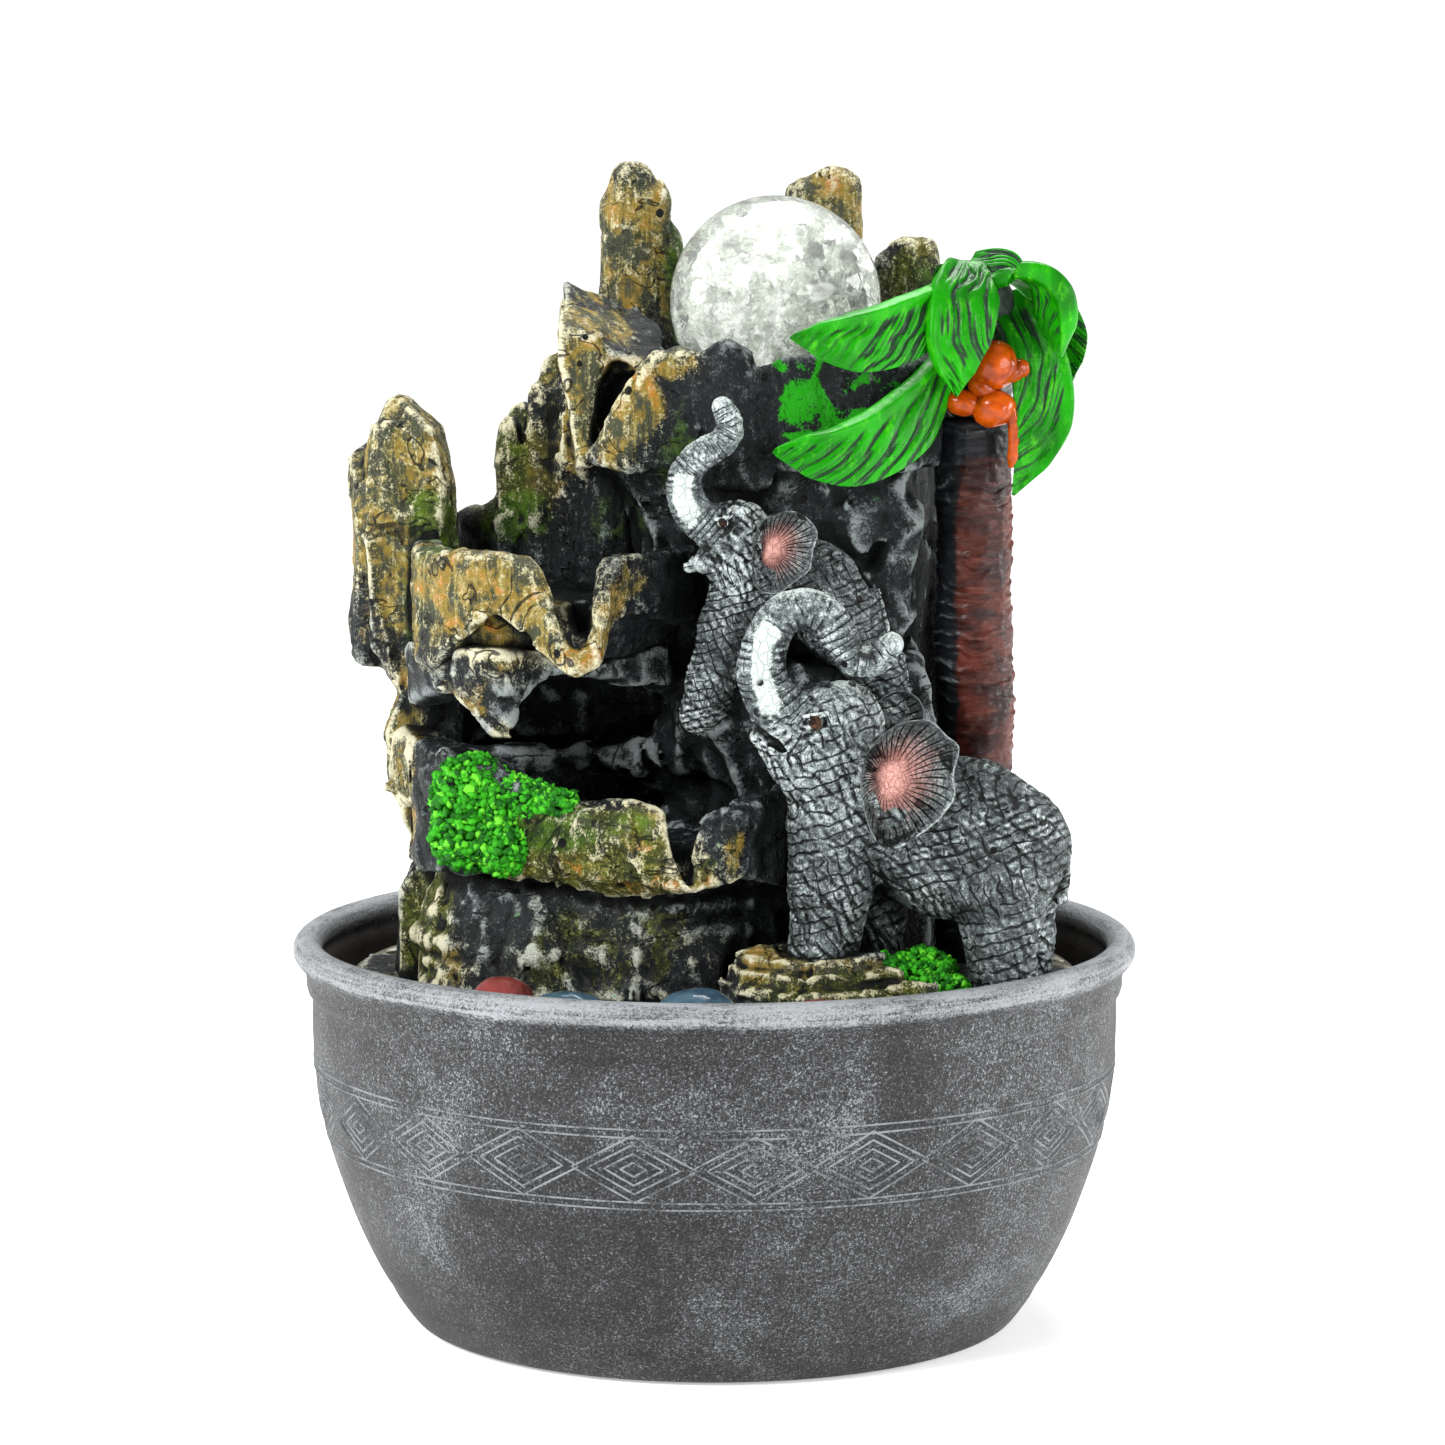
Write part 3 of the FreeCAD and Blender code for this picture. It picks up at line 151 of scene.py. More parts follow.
class Finish:
    """One material: a Principled shader, and the nodes that feed it."""

    def __init__(self, name):
        self.material = bpy.data.materials.new(name)
        self.material.use_nodes = True
        self.tree = self.material.node_tree
        self.shader = self.tree.nodes["Principled BSDF"]

    def node(self, kind, settings=None, inputs=None, output=0):
        """Adds a node of a kind, makes its settings, then links or sets its inputs."""
        node = self.tree.nodes.new(kind)
        for key, value in (settings or {}).items():
            if key == "stops":
                ramp = node.color_ramp
                while len(ramp.elements) < len(value):
                    ramp.elements.new(0.5)
                for element, (place, colour) in zip(ramp.elements, value):
                    element.position = place
                    element.color = colour
            else:
                setattr(node, key, value)
        for key, value in (inputs or {}).items():
            if isinstance(value, Value):
                self.tree.links.new(value.socket, node.inputs[key])
            else:
                node.inputs[key].default_value = value
        return Value(self, node.outputs[output])

    def maths(self, operation, a, b=0.0):
        return self.node("ShaderNodeMath", {"operation": operation}, {0: a, 1: b})

    def place(self):
        """Object coordinates, in metres."""
        return self.node("ShaderNodeTexCoord", output="Object")

    def stretched(self, scale, turn=(0, 0, 0)):
        """Object coordinates squeezed or stretched along each axis."""
        inputs = {"Vector": self.place(), "Scale": scale, "Rotation": turn}
        return self.node("ShaderNodeMapping", inputs=inputs)

    def noise(self, scale, detail=3.0, rough=0.55, place=None, bend=0.0):
        inputs = {"Vector": place or self.place(), "Scale": scale, "Detail": detail}
        inputs.update({"Roughness": rough, "Distortion": bend})
        return self.node("ShaderNodeTexNoise", inputs=inputs)

    def cells(self, scale, feature="F1", place=None):
        inputs = {"Vector": place or self.place(), "Scale": scale}
        return self.node("ShaderNodeTexVoronoi", {"feature": feature}, inputs)

    def mark(self, name):
        """A number painted on the piece's own points."""
        return self.node("ShaderNodeAttribute", {"attribute_name": name}, output="Fac")

    def ease(self, value, low, high):
        """Nought below low, one above high, and a smooth rise between."""
        inputs = {"Value": value, "From Min": low, "From Max": high}
        return self.node("ShaderNodeMapRange", {"interpolation_type": "SMOOTHSTEP"}, inputs)

    def mix(self, mask, a, b):
        """Colour a where the mask is nought and b where it is one."""
        return self.node("ShaderNodeMix", {"data_type": "RGBA"}, {0: mask, 6: a, 7: b}, output=2)

    def over(self, base, value, low, high, colour, strength=None):
        """A colour laid over the base where a value rises from low to high, at full strength or less."""
        mask = self.ease(value, low, high)
        return self.mix(mask if strength is None else mask * strength, base, colour)

    def bump(self, height, distance, strength=1.0):
        inputs = {"Height": height, "Distance": distance, "Strength": strength}
        return self.node("ShaderNodeBump", inputs=inputs)

    def surface(self, base, rough, height, distance, strength=1.0):
        """The shader's colour, roughness and relief."""
        relief = self.bump(height, distance, strength)
        self.set(**{"Base Color": base, "Roughness": rough, "Normal": relief})

    def set(self, **sockets):
        for key, value in sockets.items():
            if isinstance(value, Value):
                self.tree.links.new(value.socket, self.shader.inputs[key])
            else:
                self.shader.inputs[key].default_value = value
        return self


def rgb(r, g, b):
    """An opaque colour."""
    return (r, g, b, 1.0)


# ------------------------------------------------------------------ chance and noise


def held(values):
    """Numbers held between nought and one."""
    return np.clip(values, 0, 1)


def unit(vectors):
    """Vectors of length one."""
    return vectors / np.linalg.norm(vectors, axis=-1, keepdims=True)


def lengths(track):
    """How far along a line of points each point is."""
    return np.append(0, np.cumsum(np.linalg.norm(np.diff(track, axis=0), axis=1)))


CHANCE_COUNT = 8192
CHANCE = np.random.default_rng(11).random(CHANCE_COUNT).astype(np.float32)
# large odd numbers that scatter neighbouring corners over the table
SCATTER = (73856093, 19349663, 83492791, 26544357, 1274126177)


def chance(cell, seed):
    """A repeatable number from 0 to 1 for each corner of a lattice: its three counts are mixed into a table
    place."""
    i, j, k = np.moveaxis(cell, -1, 0)
    mixed = (i * SCATTER[0]) ^ (j * SCATTER[1]) ^ (k * SCATTER[2]) ^ (seed * SCATTER[3])
    mixed = mixed ^ (mixed >> 13)
    mixed = (mixed * SCATTER[4]) & 0xFFFFFFFF
    return CHANCE[(mixed ^ (mixed >> 15)) & (CHANCE_COUNT - 1)]


CORNERS = [(i, j, k) for i in (0, 1) for j in (0, 1) for k in (0, 1)]


def between(share, value):
    """The mean of the values at a cell's eight corners, weighted by how near the point is to each."""
    total = 0.0
    for corner in CORNERS:
        x, y, z = (share[..., n] if corner[n] else 1 - share[..., n] for n in range(3))
        total = total + x * y * z * value(corner)
    return total


def noise(points, size, seed=0):
    """Smooth noise from -1 to 1: chance values at the corners of a lattice, eased between along each
    axis."""
    scaled = points / np.asarray(size, dtype=np.float32)
    cell = np.floor(scaled).astype(np.int64)
    share = scaled - cell
    share = share * share * (3 - 2 * share)
    return between(share, lambda corner: chance(cell + corner, seed)) * 2 - 1


def chips(points, size, seed, tilt=0.5):
    """Broken stone: space is shared out among scattered seeds, and each share has its own height and
    slope."""
    scaled = points / np.asarray(size, dtype=np.float32)
    cell = np.floor(scaled).astype(np.int64)
    best = np.full(len(points), 9.0, np.float32)
    height = np.zeros(len(points), np.float32)
    for step in np.ndindex(3, 3, 3):
        c = cell + np.subtract(step, 1)
        seat = np.stack([chance(c, seed + n) for n in range(3)], -1)
        offset = scaled - (c + seat)
        far = (offset**2).sum(-1)
        slope = np.stack([chance(c, seed + n) for n in (3, 4, 5)], -1) - 0.5
        own = chance(c, seed + 6) - 0.5 + 2 * tilt * (offset * slope).sum(-1)
        nearer = far < best
        best = np.where(nearer, far, best)
        height = np.where(nearer, own, height)
    return height


# ------------------------------------------------------------------ clay: shapes added and cut on a grid


def soft_min(a, b, blend):
    """The smaller of two distances, with the corner between them filleted over the blend width."""
    near = np.maximum(blend - np.abs(a - b), 0) / blend
    return np.minimum(a, b) - near * near * blend / 4


# the distance that empty clay holds, in millimetres
FAR = 30.0


class Clay:
    """A block of clay: on each point of a grid, the distance in millimetres to the surface, negative
    inside."""

    def __init__(self, low, high, step):
        self.step = step
        self.low = np.array(low, np.float32)
        self.axes = [np.arange(a, b + step, step, dtype=np.float32) for a, b in zip(low, high)]
        self.field = np.full([len(a) for a in self.axes], FAR, np.float32)

    def window(self, form, blend):
        """The grid points near a form."""
        spans = []
        for axis, a, b in zip(self.axes, form.low, form.high):
            first, last = np.searchsorted(axis, (a - blend - 3, b + blend + 3))
            spans.append(slice(max(first - 1, 0), last + 1))
        spans = tuple(spans)
        cut = [axis[span] for axis, span in zip(self.axes, spans)]
        if any(len(c) == 0 for c in cut):
            return None, None
        return spans, np.stack(np.meshgrid(*cut, indexing="ij"), -1)

    def add(self, form, blend=2.0):
        spans, points = self.window(form, blend)
        if spans:
            self.field[spans] = soft_min(self.field[spans], form.distance(points), blend)

    def cut(self, form, blend=1.0):
        spans, points = self.window(form, blend)
        if spans:
            self.field[spans] = -soft_min(-self.field[spans], form.distance(points), blend)

    def dress(self, relief, reach=3.0):
        """Moves the surface outwards by a relief, worked out only near it."""
        near = np.abs(self.field) < reach
        self.field[near] -= relief((self.low + self.step * np.argwhere(near)).astype(np.float32))

    def at(self, points):
        """The distance at any points, read between the eight grid points around each."""
        scaled = np.clip((points - self.low) / self.step, 0, np.array(self.field.shape) - 1.001)
        cell = scaled.astype(np.int64)
        share = (scaled - cell).astype(np.float32)
        return between(share, lambda corner: self.field[tuple((cell + corner).T)])

    def skin(self):
        """The clay's surface: one vertex in each crossed cell, at the mean of the crossings on its edges,
        and one face round each crossed grid edge."""
        field = self.field.copy()
        field[[0, -1], :, :] = field[:, [0, -1], :] = field[:, :, [0, -1]] = 1.0
        inside = field < 0
        size = np.array(field.shape) - 1
        corners = np.array(CORNERS)
        count = np.zeros(size, np.int8)
        for c in corners:
            count += inside[c[0] : size[0] + c[0], c[1] : size[1] + c[1], c[2] : size[2] + c[2]]
        cells = np.argwhere((count > 0) & (count < 8))
        number = np.full(size, -1, np.int64)
        number[tuple(cells.T)] = np.arange(len(cells))
        total = np.zeros((len(cells), 3))
        hits = np.zeros(len(cells))
        for c in corners:
            for axis in np.flatnonzero(c == 0):
                other = c.copy()
                other[axis] = 1
                a, b = field[tuple((cells + c).T)], field[tuple((cells + other).T)]
                crossed = (a < 0) != (b < 0)
                share = np.where(crossed, a / np.where(a == b, 1, a - b), 0)
                point = (cells + c).astype(float)
                point[:, axis] += share
                total += point * crossed[:, None]
                hits += crossed
        verts = self.low + self.step * total / hits[:, None]
        faces = []
        for axis in range(3):
            u, v = (axis + 1) % 3, (axis + 2) % 3
            first, second = [slice(None)] * 3, [slice(None)] * 3
            first[axis], second[axis] = slice(None, -1), slice(1, None)
            edge = np.argwhere(inside[tuple(first)] != inside[tuple(second)])
            step_u, step_v = np.eye(3, dtype=int)[u], np.eye(3, dtype=int)[v]
            ring = [edge - step_u - step_v, edge - step_v, edge, edge - step_u]
            quads = np.stack([number[tuple(r.T)] for r in ring], 1)
            outward = inside[tuple(edge.T)]
            faces.append(np.where(outward[:, None], quads, quads[:, ::-1]))
        return verts, np.concatenate(faces)


class Form:
    """A shape to add to clay or cut from it: its box, and its distance at any points."""

    def __init__(self, low, high, distance):
        self.low = np.min([low, high], 0)
        self.high = np.max([low, high], 0)
        self.distance = distance


def limb(a, b, ra, rb):
    """A round tapered limb: the distance to the line a-b, less a radius that runs from ra to rb."""
    a, b = np.array(a, np.float32), np.array(b, np.float32)
    line = b - a

    def distance(points):
        share = held((points - a) @ line / (line @ line))
        return np.linalg.norm(points - a - share[..., None] * line, axis=-1) - (ra + (rb - ra) * share)

    reach = max(ra, rb)
    return Form(np.minimum(a, b) - reach, np.maximum(a, b) + reach, distance)


def limbs(clay, stations, blend=2.0):
    """A chain of limbs through (x, y, z, radius) stations."""
    for a, b in zip(stations, stations[1:]):
        clay.add(limb(a[:3], b[:3], a[3], b[3]), blend)


def egg(centre, radii, turn=0.0, axis=1):
    """An ellipsoid turned about one axis: the scaled length less one, made a distance by its own slope."""
    centre, radii = np.array(centre, np.float32), np.array(radii, np.float32)
    c, s = math.cos(math.radians(turn)), math.sin(math.radians(turn))
    u, v = (axis + 1) % 3, (axis + 2) % 3

    def distance(points):
        q = points - centre
        if turn:
            p, r = q[..., u].copy(), q[..., v].copy()
            q[..., u], q[..., v] = c * p + s * r, c * r - s * p
        scaled = np.linalg.norm(q / radii, axis=-1) + 1e-6
        steep = np.linalg.norm(q / radii**2, axis=-1) + 1e-6
        return scaled * (scaled - 1) / steep

    reach = radii.max()
    return Form(centre - reach, centre + reach, distance)


def outline_distance(u, v, corners):
    """The signed distance to a closed outline: that to its nearest side, made negative within it. Each
    corner is a (u, v) pair of numbers, or of rows with a number for each level."""
    near = np.full(u.shape, 1e9, np.float32)
    within = np.zeros(u.shape, bool)
    for (au, av), (bu, bv) in zip(corners, np.roll(corners, -1, 0)):
        run, rise = bu - au, bv - av
        share = held(((u - au) * run + (v - av) * rise) / (run * run + rise * rise + 1e-9))
        near = np.minimum(near, (u - au - share * run) ** 2 + (v - av - share * rise) ** 2)
        beside = u < au + run * (v - av) / np.where(rise == 0, 1e-9, rise)
        within ^= ((av > v) != (bv > v)) & beside
    return np.where(within, -np.sqrt(near), np.sqrt(near))


def stack(levels, soft=1.5):
    """A stone stacked from outlines: the signed distance to the outline drawn between levels, met by the
    top and the bottom over a soft edge. The levels are (z, points) and have as many points each."""
    heights = np.array([z for z, _ in levels], np.float32)
    rings = np.array([ring for _, ring in levels], np.float32)

    def distance(points):
        z = points[0, 0, :, 2]
        ring = np.stack(
            [[np.interp(z, heights, rings[:, i, n]) for n in (0, 1)] for i in range(rings.shape[1])]
        ).astype(np.float32)
        side = outline_distance(points[..., 0], points[..., 1], ring)
        ends = np.maximum(heights[0] - points[..., 2], points[..., 2] - heights[-1])
        return -soft_min(-side, -ends, soft)

    low = np.append(rings.reshape(-1, 2).min(0), heights[0])
    high = np.append(rings.reshape(-1, 2).max(0), heights[-1])
    return Form(low, high, distance)


def smooth(stations, steps=8):
    """A smooth line through stations: on each span a cubic whose slope at a station is half the step
    between its neighbours."""
    p = np.array(stations, float)
    p = np.concatenate([2 * p[:1] - p[1:2], p, 2 * p[-1:] - p[-2:-1]])
    t = np.linspace(0, 1, steps, endpoint=False)[None, :, None]
    a, b, c, d = (p[i : len(p) - 3 + i][:, None] for i in range(4))
    line = b + t * ((c - a) / 2 + t * (a - 2.5 * b + 2 * c - d / 2 + t * (1.5 * b - 1.5 * c + (d - a) / 2)))
    return np.concatenate([line.reshape(-1, p.shape[1]), p[-2:-1]])


def curtain(stations, soft=1.6):
    """A hung wall: the nearest place on a plan line gives the wall's bottom, top and thickness there, and
    the distance is that to the band between them. Stations are (x, y, bottom, top, thickness)."""
    track = smooth(stations).astype(np.float32)

    def distance(points):
        flat, z = points[:, :, 0, :2], points[0, 0, :, 2]
        best = np.full(flat.shape[:2], 1e9, np.float32)
        own = np.zeros(flat.shape[:2] + (5,), np.float32)
        for a, b in zip(track, track[1:]):
            line = b[:2] - a[:2]
            run = line @ line + 1e-6
            share = held((flat - a[:2]) @ line / run)[..., None]
            gap = ((flat - a[:2] - share * line) ** 2).sum(-1)
            slopes = np.broadcast_to((b - a)[2:4] / math.sqrt(run), flat.shape)
            values = np.concatenate([a[2:] + share * (b - a)[2:], slopes], -1)
            own = np.where((gap < best)[..., None], values, own)
            best = np.minimum(gap, best)
        side = np.sqrt(best) - own[..., 2] / 2
        under = (own[..., :1] - z) / np.sqrt(1 + own[..., 3:4] ** 2)
        over = (z - own[..., 1:2]) / np.sqrt(1 + own[..., 4:5] ** 2)
        return -soft_min(-side[..., None], -np.maximum(under, over), soft)

    half = track[:, 4].max()
    return Form(track[:, [0, 1, 2]].min(0) - half, track[:, [0, 1, 3]].max(0) + half, distance)


def beyond(point, normal, low, high):
    """All that lies on the far side of a plane, within a box."""
    point = np.array(point, np.float32)
    normal = np.array(normal, np.float32) / np.linalg.norm(normal)
    return Form(low, high, lambda points: -((points - point) @ normal))


def notch(profile, y_low, y_high):
    """A wedge or a spout's gap: an outline in x and z driven along y."""
    ring = np.array(profile, np.float32)
    low = (ring[:, 0].min(), y_low, ring[:, 1].min())
    high = (ring[:, 0].max(), y_high, ring[:, 1].max())

    def distance(points):
        side = outline_distance(points[..., 0], points[..., 2], ring)
        return np.maximum(side, np.maximum(y_low - points[..., 1], points[..., 1] - y_high))

    return Form(low, high, distance)


# ------------------------------------------------------------------ work on a mesh's points


def share_out(faces, values, count):
    """Adds up each face's value at its corners."""
    total = np.zeros((count, 3))
    for n in range(3):
        for corner in range(faces.shape[1]):
            total[:, n] += np.bincount(faces[:, corner], values[:, n], count)
    return total


def normals(verts, faces):
    """Vertex normals: the cross products of the faces' diagonals, added up at each corner."""
    last = faces[:, -1]
    cross = np.cross(verts[faces[:, 2]] - verts[faces[:, 0]], verts[last] - verts[faces[:, 1]])
    total = share_out(faces, cross, len(verts))
    return total / (np.linalg.norm(total, axis=1, keepdims=True) + 1e-12)


def averaged(values, faces, rounds):
    """Each point's value moved to the mean of its neighbours' values, a number of times."""
    values = np.array(values, float)
    sides = np.concatenate([faces[:, [i, (i + 1) % faces.shape[1]]] for i in range(faces.shape[1])])
    count = sum(np.bincount(sides[:, n], minlength=len(values)) for n in (0, 1))
    for _ in range(rounds):
        total = np.empty_like(values)
        for n in range(values.shape[1]):
            total[:, n] = np.bincount(sides[:, 0], values[sides[:, 1], n], len(values))
            total[:, n] += np.bincount(sides[:, 1], values[sides[:, 0], n], len(values))
        values = 0.4 * values + 0.6 * total / count[:, None]
    return values


def bulge(verts, faces, rounds, scale):
    """How far each point stands out from its smoothed surroundings, in units of scale: ridges above nought,
    creases below."""
    out = normals(verts, faces)
    return ((verts - averaged(verts, faces, rounds)) * out).sum(-1) / scale


def facing_out(verts, faces):
    """The faces turned round if the volume they close is negative."""
    a, b, c, d = (verts[faces[:, n]] for n in (0, 1, 2, -1))
    volume = (np.cross(a, b) * c).sum() + (np.cross(a, c) * d).sum()
    return faces if volume > 0 else faces[:, ::-1]


def make_piece(name, surface, body, slot, nodes, finish, smooth=True):
    """Puts a surface, points in millimetres and faces, into a mesh in metres, with its marks if it has any,
    and gives the piece its body and its finish."""
    verts, faces, *marks = surface
    faces = facing_out(verts, faces)
    mesh = bpy.data.meshes.new(name)
    mesh.vertices.add(len(verts))
    mesh.vertices.foreach_set("co", (np.asarray(verts) * MM).astype(np.float32).ravel())
    mesh.loops.add(faces.size)
    mesh.loops.foreach_set("vertex_index", faces.astype(np.int32).ravel())
    mesh.polygons.add(len(faces))
    mesh.polygons.foreach_set("loop_start", np.arange(0, faces.size, faces.shape[1], dtype=np.int32))
    mesh.update(calc_edges=True)
    mesh.polygons.foreach_set("use_smooth", np.full(len(faces), smooth))
    for key, values in (marks[0] if marks else {}).items():
        layer = mesh.attributes.new(key, "FLOAT", "POINT")
        layer.data.foreach_set("value", np.asarray(values, dtype=np.float32))
    mesh.validate()
    piece = bpy.data.objects.new(name, mesh)
    bpy.context.collection.objects.link(piece)
    piece.data.materials.append(finish.material)
    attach(piece, body)
    if nodes:
        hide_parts(*nodes)
    return piece


# ------------------------------------------------------------------ relief of the cast stone


def billow(points, size, seed):
    """Rounded ridges with a crease between them: the size of a noise without its sign, less its mean."""
    return np.abs(noise(points, size, seed)) - 0.28


def stone(seed, flutes=0.5, lumps=1.0, facets=1.2, strata=0.0, fine=0.3):
    """Relief of one sculpted stone: tall flutes in patches, lumps, tilted facets of two sizes, layers, thin
    cracks and a fine grain, each with its own height in millimetres."""

    def relief(p):
        bent = p + 2.5 * np.stack([noise(p, 14, seed + n) for n in (1, 2, 3)], -1)
        total = lumps * noise(p, 17, seed + 4) + fine * noise(p, 2.6, seed + 5)
        total = total + fine * noise(p, 5.2, seed + 6)
        if flutes:
            patchy = held(0.6 + 1.1 * noise(p, (19, 19, 26), seed + 12))
            total += flutes * patchy * 1.6 * billow(bent, (8, 8, 46), seed + 7)
            total += flutes * patchy * 0.6 * billow(bent, (3.2, 3.2, 18), seed + 8)
        if facets:
            small = 0.45 * facets * chips(bent, (5, 5, 8), seed + 13)
            total += facets * chips(bent, (12, 12, 17), seed + 9) + small
            crack = np.abs(noise(bent, (13, 13, 19), seed + 14))
            total -= 0.75 * facets * held(1 - crack / 0.055)
            crest = held(1 - 3.2 * np.abs(noise(bent, (12, 12, 20), seed + 15)))
            total += 0.85 * facets * crest**1.5 * held(1 + 1.5 * noise(p, 20, seed + 16))
        if strata:
            total += strata * 2 * billow(bent, (34, 34, 5.5), seed + 10)
            total += strata * 0.6 * billow(bent, (20, 20, 2.4), seed + 11)
        return total

    return relief


STEP = 1.0

WALL_LEVELS = [
    (82, [(-62, 2), (-10, 2), (-2, -12), (48, -14), (52, 12), (74, 14), (70, 40), (40, 60), (-34, 60),
        (-62, 38)]),
    (150, [(-60, 8), (-12, 6), (-4, -8), (46, -8), (50, 12), (66, 14), (64, 38), (38, 56), (-32, 56),
        (-58, 36)]),
    (206, [(-42, 10), (-26, -8), (-8, -21), (45, -21), (51, 8), (54, 14), (52, 36), (32, 50), (-26, 50),
        (-42, 34)]),
]
HOLLOW = [(-48, 21), (-13, 19), (-9, 3), (0, 0), (26, 0), (40, 4), (43, 20), (56, 24), (54, 34), (32, 46),
    (-26, 46), (-44, 32)]
FOOT_LEVELS = [
    (82, [(-71, -22), (-64, -40), (-46, -52), (-20, -56), (0, -52), (16, -40), (18, -10), (-62, 4)]),
    (96, [(-69, -20), (-61, -38), (-42, -50), (-18, -53), (2, -48), (14, -38), (18, -10), (-62, 4)]),
    (112, [(-64, -18), (-55, -36), (-38, -46), (-14, -49), (3, -44), (12, -36), (18, -10), (-62, 4)]),
]
BOULDER_LEVELS = [
    (82, [(16, -12), (22, -31), (38, -32), (50, -28), (52, -12), (30, -8)]),
    (128, [(2, -10), (6, -34), (24, -34), (50, -30), (52, -12), (30, -8)]),
    (146, [(-6, -8), (-3, -43), (17, -38), (50, -34), (50, -10), (30, -6)]),
    (160, [(-6, -8), (2, -26), (20, -30), (47, -26), (49, -8), (30, -6)]),
]


def cliff_clay():
    """The hollow body of the rockery: the rear wall, the foot under the trays and the boulder under the
    calf."""
    clay = Clay((-84, -62, 80), (82, 66, 214), 1.3 * STEP)
    clay.add(stack(WALL_LEVELS, 3), 3)
    clay.add(stack(FOOT_LEVELS, 3), 4)
    clay.add(stack(BOULDER_LEVELS, 3), 4)
    # dark ledges and the pointed rock that hangs under the middle tray
    clay.add(curtain([(-66, -16, 148, 163, 12), (-60, -32, 152, 163, 11), (-54, -39, 149, 163, 9),
        (-49, -42, 142.5, 163, 7), (-45.5, -40, 151, 163, 7), (-40, -37, 156, 163, 7),
        (-30, -31, 155, 161, 7), (-14, -22, 155, 163, 7)], 1.5), 2)
    clay.cut(beyond((-53, -43, 153), (-0.55, -0.8, -0.25), (-80, -60, 140), (-40, -20, 164)), 1.5)
    clay.add(curtain([(-70, -14, 124, 141, 9), (-62, -22, 126, 139, 9), (-40, -14, 131, 139, 9),
        (-12, -8, 129, 137, 8)], 3), 4)
    clay.add(limb((-10, -10, 176), (-4, -12, 120), 7, 9), 5)
    clay.add(limb((2, -16, 150), (10, -26, 104), 8, 10), 6)
    # the deep recesses behind the trays
    clay.cut(egg((-36, -9, 190), (21, 12, 15)), 5)
    clay.cut(egg((-36, -10, 149), (26, 14, 9)), 5)
    clay.cut(egg((-20, -24, 126), (26, 17, 9)), 5)
    # wall behind the elephants: a shallow bay with a rim down the palm's side, and oval swirls
    clay.cut(egg((33, -27, 182), (17, 11, 26)), 6)
    for x, z, rx, rz in ((33, 192, 6, 9), (38, 171, 8, 11), (25, 200, 6, 5), (44, 186, 5, 12)):
        clay.add(egg((x, -14, z), (rx, 4.2, rz), 18, 1), 1.6)

    def layers(p):
        """Thin level layers in the stone of the foot, below the lower tray."""
        total = 1.7 * billow(p, (34, 34, 5.0), 47) + 0.7 * billow(p, (20, 20, 2.6), 48)
        return total * held((113 - p[..., 2]) / 4) * (p[..., 0] < 14)

    relief = stone(31, 0.45, 1.6, 1.6, 0.35)
    clay.dress(lambda p: relief(p) + layers(p), 5)
    # hollow inside, open below
    clay.cut(stack([(76, HOLLOW), (199, HOLLOW)], 3), 2)
    clay.cut(limb((0, 10, 70), (0, 10, 84), 8, 8), 1)
    clay.cut(limb((*BALL_PLAN, 192), (*BALL_PLAN, 220), 13.2, 13.2), 1)
    return clay


